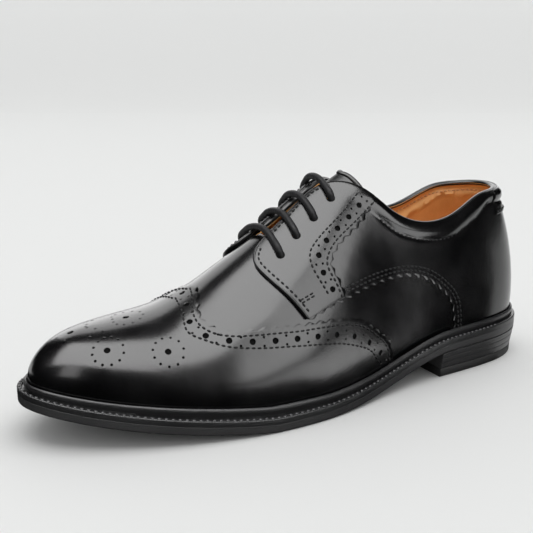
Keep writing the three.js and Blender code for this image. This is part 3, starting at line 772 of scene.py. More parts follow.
def waxed_cord():
    """Round braided cotton with a little wax."""
    material, tree, shader = finish_of(
        "waxed_braid", (0.007, 0.007, 0.008), 0.5, Specular_IOR_Level=0.3
    )
    vector = stretched_coordinates(tree)
    fibres = noise(tree, vector, 1400, detail=4, roughness=0.7)
    cloud = noise(tree, vector, 300, detail=3)
    spread_between(tree, cloud, 0.48, 0.66, shader.inputs["Roughness"])
    bump(tree, shader, [(fibres, 0.5, 0.00025)])
    return material


def sewing_thread(name, colour):
    """Twisted thread."""
    material, tree, shader = finish_of(name, colour, 0.62, Specular_IOR_Level=0.3)
    vector = stretched_coordinates(tree)
    twist = noise(tree, vector, 2600, detail=2)
    bump(tree, shader, [(twist, 0.5, 0.0002)])
    return material


CALF = box_calf("black_box_calf", 0.21, 0.16)
CALF_OVERLAY = box_calf("black_box_calf_overlay", 0.22, 0.18)
CALF_PLAIN = box_calf("black_calf_binding", 0.34, 0.25)
TAN = tan_lining()
SUEDE = suede_grip()
SOLE_EDGE = brushed_edge("inked_sole_edge", (0.030, 0.030, 0.031), 0.42, 160)
WELT_LEATHER = brushed_edge("waxed_welt", (0.014, 0.014, 0.015), 0.34, 60)
# A lighter copy of the welt's finish for the wheel's ribs: painted highlight.
WELT_RIB_HIGHLIGHT = brushed_edge("wheeled_welt_painted_highlight", (0.04, 0.04, 0.042), 0.34, 60)
HEEL_EDGE = brushed_edge("inked_heel_edge", (0.034, 0.034, 0.035), 0.38, 220)
RUBBER = rubber_tread()
CORD = waxed_cord()
THREAD = sewing_thread("black_thread", (0.004, 0.004, 0.0045))
# The matte black of the discs in the punched holes is painted shade.
PAINTED_HOLE_SHADE = finish_of("dark_backing", (0.003, 0.003, 0.003), 0.9, Specular_IOR_Level=0.1)[0]
TAN_THREAD = sewing_thread("tan_thread", (0.6, 0.27, 0.09))


# The camera stands where the photograph was taken from, beside the toe and a little above.
FRAME_PIXELS = 533
FOCAL_PIXELS = 774.9
SENSOR_WIDTH = 36.0
VIEW_AZIMUTH = math.radians(61.81)
VIEW_ELEVATION = math.radians(15.01)
VIEW_DISTANCE = 450
VIEW_TARGET = np.array([-34.86 + MIDDLE_SHIFT, 0, 56.49])


def stand_camera():
    """The camera, at the photograph's angle, distance and frame."""
    back = Vector(
        (
            math.sin(VIEW_AZIMUTH) * math.cos(VIEW_ELEVATION),
            -math.cos(VIEW_AZIMUTH) * math.cos(VIEW_ELEVATION),
            math.sin(VIEW_ELEVATION),
        )
    )
    bpy.ops.object.camera_add()
    camera = bpy.context.object
    camera.name = "camera"
    camera.data.lens = FOCAL_PIXELS / FRAME_PIXELS * SENSOR_WIDTH
    camera.data.sensor_width = SENSOR_WIDTH
    camera.data.clip_start = 0.02
    camera.rotation_mode = "QUATERNION"
    camera.rotation_quaternion = back.to_track_quat("Z", "Y")
    camera.location = Vector(VIEW_TARGET * MM) + back * VIEW_DISTANCE * MM
    bpy.context.scene.camera = camera


stand_camera()

# The shoe's middle line that skins face away from: x and z.
CORE = (0, 45)


def both_sides(grid, lift):
    """Places of a grid of seam points on the inner side, over the heel, and on the outer side."""
    outer = on_skin(grid[..., 0], grid[..., 1], lift)
    inner = on_skin(2 - grid[..., 0], grid[..., 1], lift)
    return np.concatenate([inner[:0:-1], outer])


def saw(count):
    """Gimped teeth, four grid steps to a tooth."""
    return np.array([(0, 0.5, 1, 0.5)[k % 4] for k in range(count)]) * GIMP_DEPTH


def tooth_steps(length):
    return 4 * round(length / GIMP_PITCH)


def gimp(edge, inside):
    """Pushes an edge row out into teeth, square to itself and away from the row beside it."""
    along = unit(np.gradient(edge, axis=0))
    outward = edge - inside
    outward = unit(outward - along * (outward * along).sum(-1, keepdims=True))
    return edge + outward * saw(len(edge))[:, None]


def make_vamp():
    """The vamp and toe, under the wing tip in front and the quarters behind.

    Its rear part is trimmed below the topline, so that it stays inside the quarters.
    """
    around = np.linspace(VAMP_REAR, 1, 150)[:, None]
    across = np.linspace(0, 2, 131)[None, :]
    turn, up = over_crest(around, across)
    places = lifted(turn, up, wave(turn, up))
    piece = sheet_of("vamp", places, CORE)
    only(piece)
    throat = last_point(0.549, 1)[1] * MM
    bpy.ops.object.mode_set(mode="EDIT")
    bpy.ops.mesh.select_all(action="DESELECT")
    bpy.ops.mesh.select_mode(type="FACE")
    bpy.ops.object.mode_set(mode="OBJECT")
    rear = np.linspace(VAMP_REAR, 0.56, 80)
    brim = last_point(rear, np.minimum(0.72, topline_up(rear) - 0.14))[::-1] * MM
    for face in piece.data.polygons:
        height = np.interp(face.center.y, brim[:, 1], brim[:, 2])
        face.select = face.center.y > throat and face.center.z > height
    bpy.ops.object.mode_set(mode="EDIT")
    bpy.ops.mesh.delete(type="FACE")
    bpy.ops.object.mode_set(mode="OBJECT")
    piece.data.materials.append(CALF)
    piece.data.materials.append(TAN)
    thicken(piece, VAMP, 0.2, inner_material=1)
    return dress(smooth(piece), [CALF, TAN], ["upper"])


def quarter_top(behind, ahead):
    """The topline in two runs of steps, behind and ahead of the turn where they divide."""
    line = even(TOPLINE + FLAP_TOP, 1200)
    corner = np.searchsorted(line[:, 0], TOPLINE_DIVIDE)
    stops = np.linspace(0, corner, behind + 1)
    stops = np.concatenate([stops[:-1], np.linspace(corner, 1200, ahead + 1)])
    return np.stack([np.interp(stops, np.arange(1201), line[:, k]) for k in (0, 1)], -1)


def make_quarters():
    """Both quarters in one skin around the heel, with their gimped arch over the vamp."""
    arc_steps = tooth_steps(seam_length(ARC_SEAM))
    floor_steps = 92
    floor_line = even(QUARTER_FOOT, floor_steps)
    arc_line = even(ARC_SEAM, arc_steps)
    bottom = np.concatenate([floor_line[:-1], arc_line])
    rows = 54
    left = even(HEEL_RIB, rows)
    top = quarter_top(floor_steps, arc_steps)
    grid = patch(bottom, top, left, even(FLAP_FRONT, rows))
    places = both_sides(grid, ON_QUARTER)
    for arc in (slice(-arc_steps - 1, None), slice(arc_steps, None, -1)):
        places[arc, 0] = gimp(places[arc, 0], places[arc, 1])
    piece = sheet_of("quarters", places, CORE)
    thicken(piece, QUARTER, 0.35)
    smooth(piece)
    cut_holes(piece, [eyelet_punches(inner) for inner in BOTH])
    return dress(piece, [CALF], ["upper"])


def eyelet_punches(inner):
    """Punches for the four eyelets of one side."""
    places, axes = axes_at(np.array(EYELETS), inner, 0)
    return copies("eyelet_punch", punch_pattern(EYELET_DIAMETER, 14, 20), places, axes)


def make_lining():
    """The tan lining of the quarters, seen inside the collar."""
    steps = 150
    rows = 44
    bottom = even(LINING_FOOT, steps)
    left = even(HEEL_RIB, rows)
    top = quarter_top(steps // 2, steps // 2)
    grid = patch(bottom, top, left, even(LINING_FRONT, rows))
    piece = sheet_of("lining", both_sides(grid, LINING - WALL), CORE)
    thicken(piece, LINING, 0.2)
    smooth(piece)
    cut_holes(piece, [eyelet_punches(inner) for inner in BOTH])
    return dress(piece, [TAN])


def facing_grid():
    """The facing's grid of seam points, from its rear edge to its front one."""
    rows = tooth_steps(seam_length(FACING_REAR))
    steps = 40
    top = even((FACING_CORNER,) + TOPLINE[10:] + FLAP_TOP, steps)
    rear = even(FACING_REAR[:-1] + (FACING_CORNER,), rows)
    return patch(even(FACING_FOOT, steps), top, rear, even(FLAP_FRONT, rows))


def along_line(line, pitch, start, shown=None):
    """Points at a pitch along a seam line, from a start, read off it or off a line beside it."""
    places = last_point(line[:, 0], line[:, 1])
    length = travel_along(places)
    stops = np.arange(start, length[-1], pitch)
    shown = line if shown is None else shown
    return np.stack([np.interp(stops, length, shown[:, k]) for k in (0, 1)], -1)


def pairs_between(line, pitch, start, spread):
    """Pairs of small holes across the line, halfway between its large ones."""
    spots = []
    for side in (-spread, spread):
        spots.append(along_line(line, pitch, start + pitch / 2, beside(line, side)))
    return np.concatenate(spots)


def punches_at(name, spots, diameter, lift, depth, inner=False, sides=14):
    """Punches at seam points. The skin is in the middle of each."""
    turn = side_turn(spots[:, 0], inner)
    places = on_skin(turn, spots[:, 1], lift)
    outward = last_normal(turn, spots[:, 1])
    across = unit(np.cross(outward, np.array([0.3, 1.0, 0.1])))
    axes = np.stack([across, np.cross(outward, across), outward], 1)
    return copies(name, punch_pattern(diameter, depth, sides), places, axes)


def strip_middle():
    """The line of the facing's large holes, between its rear edge and the strip's front one."""
    rear = even(FACING_REAR, 200)[::-1]
    return rear * 0.42 + even(STRIP_FRONT, 200) * 0.58


def make_facing(name, inner):
    """A facing: gimped rear edge, four eyelets and a row of punching. Its folded front edge is a
    separate piece.
    """
    grid = facing_grid()
    places = on_skin(side_turn(grid[..., 0], inner), grid[..., 1], ON_FACING)
    places[0] = gimp(places[0], places[1])
    piece = sheet_of(f"{name}_leather", places, CORE)
    thicken(piece, FACING, 0.4)
    smooth(piece)
    middle = strip_middle()
    pitch = FACING_PUNCH_PITCH
    large = along_line(middle, pitch, FACING_PUNCH_START)
    small = pairs_between(middle, pitch, FACING_PUNCH_START - pitch, FACING_PAIR_SPREAD)
    # Matte black discs under this punching: painted shade in the holes.
    hole_shade_discs_at(f"{name}_backing", large, small, AIR * 1.5 + QUARTER, inner)
    cut_holes(
        piece,
        [
            eyelet_punches(inner),
            punches_at("large_punches", large, LARGE_PUNCH, ON_FACING, 2.6, inner),
            punches_at("small_punches", small, SMALL_PUNCH, ON_FACING, 2.6, inner, 10),
        ],
    )
    return dress(piece, [CALF_OVERLAY], [name])


def hole_shade_discs_at(name, large, small, lift, inner=False):
    """Matte black discs at the bottoms of the punched holes: painted shade that darkens them."""
    for index, (spots, diameter) in enumerate(((large, LARGE_PUNCH), (small, SMALL_PUNCH))):
        piece = punches_at(f"{name}_{index + 1}", spots, diameter + 0.3, lift, 0.05, inner)
        dress(smooth(piece), [PAINTED_HOLE_SHADE])


def wing_middle():
    """The line of the wing's large holes, between its two seams."""
    upper = beside(even(WING_EDGE, 240), -2.2)
    return upper * 0.5 + even(WING_LOWER_SEAM, 240) * 0.5


def flower_spots(flower):
    """The ring of small holes around one of the medallion's large ones."""
    around, up = flower["at"]
    around_by, up_by = last_slopes(np.array([around]), np.array([min(up, 0.999)]))
    spots = []
    for k in range(flower["petals"]):
        angle = 2 * math.pi * (k + 0.5) / flower["petals"]
        spots.append(
            (
                around + flower["radius"] * math.cos(angle) / np.linalg.norm(around_by),
                up + flower["radius"] * math.sin(angle) / np.linalg.norm(up_by),
            )
        )
    return spots


def wing_punches():
    """Large and small holes of the wing tip, each as turns and heights over both sides."""
    middle = wing_middle()
    large = []
    small = []
    for inner in BOTH:
        start = WING_PUNCH_PITCH if inner else 0
        for spot in along_line(middle, WING_PUNCH_PITCH, start):
            large.append((side_turn(spot[0], inner), spot[1]))
        for spot in pairs_between(middle, WING_PUNCH_PITCH, 0, WING_PAIR_SPREAD):
            small.append((side_turn(spot[0], inner), spot[1]))
        for flower in FLOWERS:
            if inner and not flower["both"]:
                continue
            large.append((side_turn(flower["at"][0], inner), flower["at"][1]))
            small += [(side_turn(around, inner), up) for around, up in flower_spots(flower)]
    return [np.stack(over_crest(*np.transpose(spots)), -1) for spots in (large, small)]


def make_wing_tip():
    """The wing tip, from its gimped upper edge to the toe."""
    steps = tooth_steps(seam_length(WING_EDGE))
    edge = even(WING_EDGE, steps)[::-1]
    share = np.linspace(0, 1, 96) ** 1.15
    around = edge[:, None, 0] * (1 - share) + share
    up = np.repeat(edge[:, 1:2], len(share), axis=1)
    outer = on_skin(around, up, ON_WING)
    inner = on_skin(2 - around, up, ON_WING)
    places = np.concatenate([outer, inner[-2::-1]])
    places[:, 0] = gimp(places[:, 0], places[:, 1])
    piece = sheet_of("wing_tip_leather", places, CORE)
    thicken(piece, WING, 0.25)
    smooth(piece)
    large, small = wing_punches()
    # Matte black discs under this punching: painted shade in the holes.
    hole_shade_discs_at("wing_backing", large, small, AIR)
    cut_holes(
        piece,
        [
            punches_at("large_punches", large, LARGE_PUNCH, ON_WING, 2.4),
            punches_at("small_punches", small, SMALL_PUNCH, ON_WING, 2.4, sides=10),
        ],
    )
    return dress(piece, [CALF_OVERLAY], ["wing_tip"])


def make_folded_edge(name, inner):
    """The facing's front edge, folded over a cord, from its foot to the throat's top."""
    line = even(FLAP_FRONT + (FLAP_TOP[0], TOPLINE[-1]), 120)
    turn = side_turn(line[:, 0], inner)
    path = on_skin(turn, line[:, 1], FOLDED_EDGE_LIFT)
    piece = tube_of(name, path, FOLDED_EDGE_RADIUS * rounded_ends(len(path), 40), 14)
    return dress(smooth(piece, 60), [CALF_PLAIN])


def make_heel_tab():
    """The short strip that covers the collar's back seam."""
    around = np.linspace(-TAB_REACH, TAB_REACH, 61)[:, None]
    share = np.linspace(0.80, 0.995, 22)[None, :]
    up = share * topline_up(np.abs(around))
    places = on_skin(around, up, ON_TAB)
    piece = sheet_of("heel_tab_leather", places, CORE)
    thicken(piece, TAB, 0.3)
    return dress(smooth(piece), [CALF_OVERLAY], ["heel_tab"])


def make_tongue():
    """The tongue, under both facings, and the rolled rim of its top."""
    share = np.linspace(0, 1, 70)[:, None] ** 1.3
    side = np.linspace(-1, 1, 61)[None, :]
    top_edge = spline(TONGUE_TOP["side"], TONGUE_TOP["turn"])(side)
    around = top_edge * (1 - share) + TONGUE_FOOT_TURN * share
    across = 1 + side * spline(TONGUE_HALF["down"], TONGUE_HALF["width"])(share)
    turn, up = over_crest(around, across)
    places = lifted(turn, up, -TONGUE_DEPTH)
    for _ in range(10):
        middle = places[:, :-2] + 2 * places[:, 1:-1] + places[:, 2:]
        places[:, 1:-1] = middle / 4
    piece = sheet_of("tongue_leather", places, CORE)
    apply(piece, "SOLIDIFY", thickness=TONGUE * MM, offset=-1)
    apply(
        piece, "BEVEL", width=0.9 * MM, segments=3, limit_method="ANGLE",
        angle_limit=math.radians(50),
    )
    dress(smooth(piece, 60), [CALF_PLAIN], ["tongue"])
    rim = places[0] + unit(places[3] - places[0]) * 0.8
    inward = unit(np.array([0, rim[:, 1].mean(), 60.0]) - rim)
    radius = TONGUE_RIM_RADIUS * rounded_ends(len(rim), 12)
    rim = tube_of("tongue_rim", rim + inward * 0.5, radius, 18)
    return dress(smooth(rim, 60), [CALF_PLAIN])


def rounded_ends(count, sharpness):
    """Shares of a radius along a tube that closes both of its ends."""
    travel = np.linspace(-1, 1, count)[:, None]
    return np.sqrt(np.clip(1 - np.abs(travel) ** sharpness, 0, 1))


def tube_of(name, path, radius, sides):
    """A closed round cord along a path. The radius may change along and around it."""
    path = np.asarray(path, float)
    along = unit(np.gradient(path, axis=0))
    side = np.empty_like(path)
    side[0] = unit(np.cross(along[0], (0.1, 0.2, 1.0)))
    for k in range(1, len(path)):
        side[k] = unit(side[k - 1] - along[k] * np.dot(side[k - 1], along[k]))
    other = np.cross(along, side)
    angle = np.linspace(0, 2 * math.pi, sides + 1)
    reach = np.broadcast_to(radius, (len(path), sides + 1))[..., None]
    ring = side[:, None] * np.cos(angle)[None, :, None]
    ring = ring + other[:, None] * np.sin(angle)[None, :, None]
    places = path[:, None] + ring * reach
    places[:, -1] = places[:, 0]
    return sheet_of(name, places)


def smooth_path(points, count):
    """A smooth line through given points."""
    points = np.array(points, float)
    travel = travel_along(points)
    fine = np.linspace(0, travel[-1], count)
    return np.stack([spline(travel, points[:, k])(fine) for k in range(3)], -1)


def make_lace_bar(name, spot):
    """One bar of the lacing: out of the outer eyelet, over the throat, into the inner one."""
    around, up = spot
    radius = LACE_DIAMETER / 2
    rest = QUARTER + FACING + radius + 0.3

    def at(inner, lift, share):
        return lifted(side_turn(around, inner), up + (1 - up) * share, lift)

    route = [
        at(False, -WALL - 0.4, -0.02),
        at(False, 0.8, -0.02),
        at(False, rest - 0.3, 0.04),
        at(False, rest, 0.3),
        at(False, rest, 0.65),
        at(True, rest - 0.1, 0.65),
        at(True, rest + 0.2, 0.3),
        at(True, rest, 0.04),
        at(True, 1.0, -0.02),
        at(True, -WALL - 0.4, -0.02),
    ]
    steps = 180
    sides = 20
    path = smooth_path(route, steps)
    angle = np.linspace(0, 2 * math.pi, sides + 1)[None, :]
    turns = 2 * math.pi * BRAID_TURNS * np.linspace(0, 1, steps)[:, None]
    braid = BRAID_DEPTH * np.sin(4 * angle + turns) * np.sin(4 * angle - turns)
    piece = tube_of(f"{name}_cord", path, (radius + braid) * rounded_ends(steps, 60), sides)
    return dress(smooth(piece, 60), [CORD], [name])


def make_collar_binding():
    """The rolled edge that closes quarter and lining along the topline."""
    half = even(TOPLINE, 150)
    paths = []
    for inner in BOTH:
        turn = side_turn(half[:, 0], inner)
        _, up_by = last_slopes(turn, half[:, 1])
        centre = lifted(turn, half[:, 1], (QUARTER - WALL) / 2)
        paths.append(centre - unit(up_by) * (BINDING_RADIUS - BINDING_RISE))
    outer, inner = paths
    path = np.concatenate([inner[:0:-1], outer])
    piece = tube_of("collar_binding", path, BINDING_RADIUS * rounded_ends(len(path), 80), 18)
    return dress(smooth(piece, 60), [CALF_PLAIN])


def make_heel_grip():
    """The suede grip inside the heel, with its arched upper edge."""
    side = np.linspace(-1, 1, 60)[:, None]
    share = np.linspace(0, 1, 40)[None, :]
    edge = GRIP["top"] - GRIP["drop"] * np.abs(side) ** 3.2
    up = GRIP["foot"] + (edge - GRIP["foot"]) * share
    piece = sheet_of("heel_grip", lifted(side * GRIP["reach"], up, -WALL - AIR), CORE)
    thicken(piece, GRIP_THICKNESS, 0.2)
    return dress(smooth(piece), [SUEDE])


def above_sole(height):
    """A level over the sole's underside, as a function of the station."""

    def level(station):
        return underside(station) + height

    return level


def flat_level(height):
    """A level over the floor, as a function of the station."""

    def level(station):
        return np.full_like(station, height)

    return level


def crossing(start, end, heights):
    """Rows straight across from one edge to the other, one for each height."""
    rows = []
    for share, height in zip(np.linspace(0, 1, len(heights) + 2)[1:-1], heights):
        x = start[0] + (end[0] - start[0]) * share
        station = start[1] + (end[1] - start[1]) * share
        rows.append((x, station, height))
    return rows


def slab(name, rings, steps=150, cut_at=None):
    """A plate from rings around the sole's edge, bottom first, each an inset and a level."""
    last_turn = 1.0 if cut_at is None else float(turn_of(cut_at / SOLE_LENGTH)) / math.pi
    turns = np.linspace(0, last_turn, steps + 1)
    outer, inner = [], []
    for inset, level in rings:
        for side, turn in ((outer, turns), (inner, -turns)):
            x, station = outline(turn, inset)
            if cut_at is not None:
                station = np.minimum(station, cut_at)
                station[-1] = cut_at
            side.append((x, station, level))
    top = crossing(outer[-1], inner[-1], [rings[-1][1]] * 6)
    bottom = crossing(inner[0], outer[0], [rings[0][1]] * 6)
    section = outer + top + inner[::-1] + bottom + outer[:1]
    columns = [place(x, station, level(station)) for x, station, level in section]
    places = np.stack(columns, 1)
    if cut_at is not None:
        end = places[-1].copy()
        end[:, 0] = MIDDLE_SHIFT
        places = np.concatenate([places, end[None]])
    return sheet_of(name, places)


def make_outsole():
    """The leather sole, with its lower edge rounded off."""
    bevel = SOLE_EDGE_BEVEL
    rings = [
        (bevel + 0.5, 0), (bevel, 0.02), (0.35 * bevel, 0.3 * bevel), (0, bevel),
        (0, bevel + 0.4), (0, SOLE_THICKNESS - 0.4), (0, SOLE_THICKNESS - 0.08),
        (0.08, SOLE_THICKNESS),
    ]
    piece = slab("outsole_leather", [(inset, above_sole(height)) for inset, height in rings])
    return dress(smooth(piece), [SOLE_EDGE], ["outsole"])


def make_insole():
    """The tan sock over the insole."""
    turns = np.linspace(0, 1, 121)
    shelf = SOLE_THICKNESS + WELT_THICKNESS + 0.3
    rings = [
        (WALL + 0.9, shelf - 2.6), (WALL + 0.75, shelf + 1.2), (WALL + 1.1, shelf + 2.0),
        (WALL + 2.2, shelf + 2.5),
    ]
    sides = []
    for turn in (turns, -turns):
        side = []
        for extra, height in rings:
            x, station = outline(turn, feather_inset(edge_at(turn)[2]) + extra)
            side.append((x, station, height))
        sides.append(side)
    outer, inner = sides
    hollow = SOCK_HOLLOW * np.sin(math.pi * np.linspace(0, 1, 12)[1:-1])
    top = crossing(outer[-1], inner[-1], list(rings[-1][1] - hollow))
    under = crossing(inner[0], outer[0], [rings[0][1]] * 6)
    section = outer + top + inner[::-1] + under + outer[:1]
    columns = [place(x, s, underside(s) + height) for x, s, height in section]
    piece = sheet_of("sock", np.stack(columns, 1))
    return dress(smooth(piece), [TAN], ["insole"])


def make_welt():
    """The welt: a wheeled rim, a groove and the bead that hugs the upper."""
    turns = np.linspace(0, 2, 421)
    low = SOLE_THICKNESS + 0.02
    flat = SOLE_THICKNESS + WELT_THICKNESS - 0.3
    gap = QUARTER + 2 * AIR
    feather = feather_inset(edge_at(turns)[2])
    bead_foot = np.maximum(0.9, feather - BEAD_WIDTH - gap)

    def at(inset, height):
        x, station = outline(turns, inset)
        return place(x, station, underside(station) + height)

    rim = np.minimum(RIM_WIDTH, bead_foot - 0.15)
    groove = np.minimum(RIM_WIDTH + 0.35, bead_foot)
    section = [
        at(0.08, low), at(0, low + 0.08), at(0, low + 0.4), at(0, flat - 0.7),
        at(0.12, flat - 0.3), at(0.4, flat - 0.05), at(rim * 0.5, flat), at(rim, flat - 0.05),
        at(groove, flat - RIM_GROOVE), at(bead_foot, flat - RIM_GROOVE),
    ]
    centre_up = up_for_height(turns, BEAD_HEIGHT * 0.52)
    centre = lifted(turns, centre_up, gap + BEAD_WIDTH / 2)
    outward = last_normal(turns, centre_up)
    upward = unit(last_slopes(turns, centre_up)[1])
    for angle in np.radians(np.linspace(-55, 175, 12)):
        reach = BEAD_WIDTH / 2 * math.cos(angle)
        climb = (BEAD_HEIGHT * 0.5) * math.sin(angle)
        section.append(centre + outward * reach + upward * climb)
    section += [
        at(feather + 0.4, flat - 0.2), at(feather + WELT_SHELF, flat - 0.2),
        at(feather + WELT_SHELF, low), section[0],
    ]
    places = np.stack(section, 1)
    places[-1] = places[0]
    piece = sheet_of("welt_strip", places)
    return dress(smooth(piece, 42), [WELT_LEATHER], ["welt"])


def edge_walk(pitch, inset, height, first, last):
    """Evenly spaced places along the sole's edge with their along, across and up axes."""
    turns = np.linspace(first, last, 1600)
    x, station = outline(turns, inset)
    line = place(x, station, underside(station) + height)
    length = travel_along(line)
    stops = np.arange(pitch / 2, length[-1], pitch)
    places = np.stack([np.interp(stops, length, line[:, k]) for k in range(3)], -1)
    along = unit(np.gradient(places, axis=0))
    across = unit(np.cross((0.0, 0.0, 1.0), along))
    return places, np.stack([along, across, np.cross(along, across)], 1)


def make_welt_wheeling():
    """The ribs that the wheel leaves on the welt's rim, in a lighter copy of the welt's finish:
    real ribs with a painted highlight.
    """
    bpy.ops.mesh.primitive_uv_sphere_add(segments=8, ring_count=6, radius=1)
    pattern = bpy.context.object
    shape = vertex_places(pattern)
    set_vertex_places(pattern, shape * (WELT_STITCH_PITCH * 0.34, 0.8, 0.55))
    flat = SOLE_THICKNESS + WELT_THICKNESS - 0.3
    places, axes = edge_walk(WELT_STITCH_PITCH, 0.98, flat, 0.22, 1.78)
    piece = copies("welt_wheeling", pattern, places, axes)
    return dress(smooth(piece, 80), [WELT_RIB_HIGHLIGHT])


def stack_level(share):
    """A level at a share of the way from the top piece up to the sole."""
    bottom = TOP_PIECE_THICKNESS + 2 * HEEL_GAP

    def level(station):
        return bottom + (underside(station) - HEEL_GAP - bottom) * share

    return level


def make_heel():
    """Stacked lifts with their seams, and the rubber top piece."""
    rings = []
    for lift in range(HEEL_LIFTS):
        for part, groove in LIFT_PROFILE:
            share = (lift + part) / HEEL_LIFTS
            rings.append((HEEL_TAPER * (1 - share) + groove, stack_level(share)))
    rings.append((HEEL_SEAM_DEPTH, above_sole(-HEEL_GAP)))
    stack = slab("heel_lifts", rings, 70, BREAST_STATION)
    dress(smooth(stack), [HEEL_EDGE], ["heel_stack"])
    rings = []
    for extra, height in (
        (0.9, 0), (0.35, 0.15), (0.1, 0.6), (0, TOP_PIECE_THICKNESS - 0.5),
        (0.25, TOP_PIECE_THICKNESS - HEEL_GAP),
    ):
        rings.append((HEEL_TAPER + extra, flat_level(height)))
    piece = slab("top_piece", rings, 70, BREAST_STATION)
    dress(smooth(piece), [RUBBER], ["heel_top_piece"])


def stitches(name, rows, thread=THREAD):
    """Rows of stitches in one mesh. A row is a seam line, a height and the sides it is on."""
    places, axes = [], []
    for line, lift, sides in rows:
        for inner in sides:
            spots = along_line(line, STITCH_PITCH, STITCH_PITCH / 2)
            spot_places, spot_axes = axes_at(spots, inner, lift)
            places.append(spot_places)
            axes.append(spot_axes)
    piece = copies(name, stitch_pattern(), np.concatenate(places), np.concatenate(axes))
    return dress(smooth(piece, 80), [thread])


def make_seams():
    """All rows of stitching but the bar tacks."""
    on_quarter = ON_QUARTER + THREAD_LIFT
    on_facing = ON_FACING + THREAD_LIFT
    on_wing = ON_WING + THREAD_LIFT
    stitches(
        "wing_stitching",
        [
            (beside(even(WING_EDGE, 300), -WING_SEAM_INSET), on_wing, BOTH),
            (even(WING_LOWER_SEAM, 300), on_wing, BOTH),
        ],
    )
    arc = even(ARC_SEAM, 300)
    rows = [(beside(arc, -inset), on_quarter, BOTH) for inset in ARCH_SEAM_INSETS]
    stitches("arch_stitching", rows)
    rear = even(FACING_REAR, 300)
    front = even(FLAP_FRONT, 300)
    top = even(TOPLINE[11:] + FLAP_TOP, 200)
    stitches(
        "facing_stitching",
        [
            (beside(rear, FACING_REAR_INSET), on_facing, BOTH),
            (even(STRIP_FRONT, 300), on_facing, BOTH),
            (beside(front, -FACING_FRONT_INSET)[14:-6], on_facing, BOTH),
            (beside(top, FACING_TOP_INSET)[6:-14], on_facing, BOTH),
        ],
    )
    cuff = even(TOPLINE[:-5], 300)
    cuff[:, 1] -= cuff_depth(cuff[:, 0]) * 1.02
    stitches("collar_stitching", [(cuff[60:-30], on_quarter - 0.1, BOTH)])
    stitches("heel_tab_stitching", [(even(TAB_FOOT, 60), ON_TAB + THREAD_LIFT, BOTH)])
    inside = even(TOPLINE[:-4], 300)
    inside[:, 1] -= 0.034
    rows = [(line, -WALL - 0.02, BOTH) for line in (inside, even(LINING_SEAM, 80))]
    stitches("lining_stitching", rows, TAN_THREAD)


def make_bar_tacks():
    """Two short bars of thread side by side at the foot of each facing's front edge."""
    line = even(BAR_TACK, 40)
    for inner, name in ((False, "bar_tack_outer"), (True, "bar_tack_inner")):
        rows = []
        for side in (-BAR_TACK_SPREAD, BAR_TACK_SPREAD):
            rows.append((beside(line, side), ON_FACING + 0.15, (inner,)))
        stitches(name, rows)


# The stage's sizes, in metres.
FLOOR_REACH = 2.2
BEND_RADIUS = 1.6
BACKDROP_HEIGHT = 9.0


def stage():
    """A pale floor, and the backdrop that it rises into. Reflections show its rear part alone."""
    away = np.array([-math.sin(VIEW_AZIMUTH), math.cos(VIEW_AZIMUTH)])
    side = np.array([away[1], -away[0]])
    bend = [(FLOOR_REACH, 0.0)]
    for angle in np.radians(np.linspace(0, 90, 14))[1:]:
        reach = FLOOR_REACH + BEND_RADIUS * math.sin(angle)
        bend.append((reach, BEND_RADIUS * (1 - math.cos(angle))))
    bend.append((FLOOR_REACH + BEND_RADIUS, BACKDROP_HEIGHT))
    material, tree, shader = finish_of(
        "pale_floor", (0.80, 0.805, 0.80), 0.75,
        Specular_IOR_Level=0.0, Emission_Color=(0.99, 1.0, 0.995, 1),
    )
    coordinates = node(tree, "ShaderNodeTexCoord")
    parts = node(tree, "ShaderNodeSeparateXYZ")
    glow = node(tree, "ShaderNodeMapRange", From_Max=BEND_RADIUS, To_Max=0.42)
    tree.links.new(coordinates.outputs["Object"], parts.inputs["Vector"])
    tree.links.new(parts.outputs["Z"], glow.inputs["Value"])
    tree.links.new(glow.outputs["Result"], shader.inputs["Emission Strength"])
    front = [(-4.0, 0.0), (0.03, 0.0)]
    rear = [(0.03, 0.0), (FLOOR_REACH, 0.0)]
    for name, profile in (("floor_front", front), ("floor_rear", rear), ("backdrop", bend)):
        places = np.zeros((len(profile), 3, 3))
        for i, (back, height) in enumerate(profile):
            for j, wide in enumerate((-7, 0, 7)):
                places[i, j, :2] = (away * back + side * wide) / MM
                places[i, j, 2] = height / MM
        piece = sheet_of(name, places, (0, 1000))
        smooth(piece, 60)
        piece.data.materials.append(material)
        piece.visible_glossy = name == "floor_rear"


def low_card():
    """A pale card on the floor beside the heel, seen only in the shoe's reflections."""
    reach = np.linspace(0.10, 1.2, 3)
    azimuth = np.radians(np.linspace(86, 128, 5))
    places = np.zeros((3, 5, 3))
    places[..., 0] = np.sin(azimuth)[None] * reach[:, None] / MM
    places[..., 1] = 40 - np.cos(azimuth)[None] * reach[:, None] / MM
    places[..., 2] = 0.4
    card = sheet_of("low_card", places, (0, -1000))
    material = finish_of(
        "lit_card", (0.8, 0.8, 0.8), 0.8, Emission_Color=(1, 1, 1, 1), Emission_Strength=1.9
    )[0]
    card.data.materials.append(material)
    card.visible_camera = False
    card.visible_diffuse = False
    card.visible_shadow = False


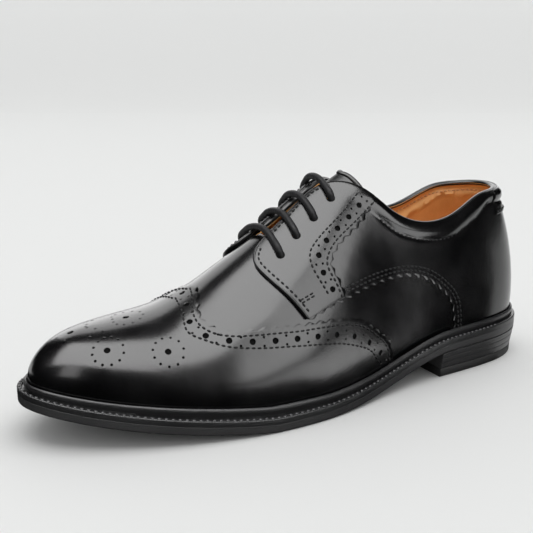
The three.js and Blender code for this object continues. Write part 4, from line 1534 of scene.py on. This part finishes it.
def light(name, azimuth, elevation, distance, size, power, glossy_only=True, towards=(0, 0, 0.05)):
    """A softbox that faces the shoe from a direction, with its distance and size in metres.

    Azimuth 0 is in front of the toe.
    """
    a, e = math.radians(azimuth), math.radians(elevation)
    back = Vector((math.sin(a) * math.cos(e), -math.cos(a) * math.cos(e), math.sin(e)))
    bpy.ops.object.light_add(type="AREA")
    lamp = bpy.context.object
    lamp.name = name
    lamp.data.shape = "RECTANGLE"
    lamp.data.size, lamp.data.size_y = size
    lamp.data.energy = power
    lamp.location = Vector(towards) + back * distance
    lamp.rotation_mode = "QUATERNION"
    lamp.rotation_quaternion = back.to_track_quat("Z", "Y")
    lamp.visible_camera = False
    if glossy_only:
        lamp.visible_diffuse = False
    return lamp


def lights():
    """An even room, soft light from above, softboxes for the gloss and a lamp for the lining."""
    bpy.context.scene.view_settings.view_transform = "Standard"
    world = bpy.context.scene.world or bpy.data.worlds.new("room")
    bpy.context.scene.world = world
    world.use_nodes = True
    background = world.node_tree.nodes["Background"]
    background.inputs["Color"].default_value = (1.0, 1.0, 1.0, 1)
    background.inputs["Strength"].default_value = 0.56
    world.cycles_visibility.glossy = False
    bpy.ops.object.light_add(type="SUN")
    sun = bpy.context.object
    sun.name = "overhead"
    sun.data.energy = 1.95
    sun.data.angle = math.radians(75)
    sun.rotation_euler = (math.radians(-14), math.radians(-10), 0)
    sun.visible_glossy = False
    light("key_softbox", 42, 63, 1.6, (2.1, 1.7), 60)
    light("side_strip", 107, 24, 1.6, (0.86, 1.29), 13)
    light("toe_strip", 33, 21, 1.6, (0.42, 0.66), 2.2)
    light("back_softbox", 242, 27, 2.4, (3.4, 2.4), 50)
    lamp = light("collar_lamp", 70, 62, 0.6, (0.3, 0.3), 0.8, False, (0, 0.1, 0.07))
    lamp.visible_glossy = False
    lit = bpy.data.collections.new("collar_lining")
    for name in ("lining", "heel_grip", "sock", "lining_stitching"):
        lit.objects.link(bpy.data.objects[name])
    lamp.light_linking.receiver_collection = lit


make_outsole()
make_welt()
make_welt_wheeling()
make_heel()
make_insole()
make_vamp()
make_quarters()
make_lining()
make_heel_grip()
make_collar_binding()
make_tongue()
make_wing_tip()
make_facing("facing_outer", False)
make_facing("facing_inner", True)
make_folded_edge("folded_edge_outer", False)
make_folded_edge("folded_edge_inner", True)
make_heel_tab()
for index, eyelet in enumerate(EYELETS):
    make_lace_bar(f"lace_bar_{index + 1}", eyelet)
make_seams()
make_bar_tacks()
stage()
low_card()
lights()
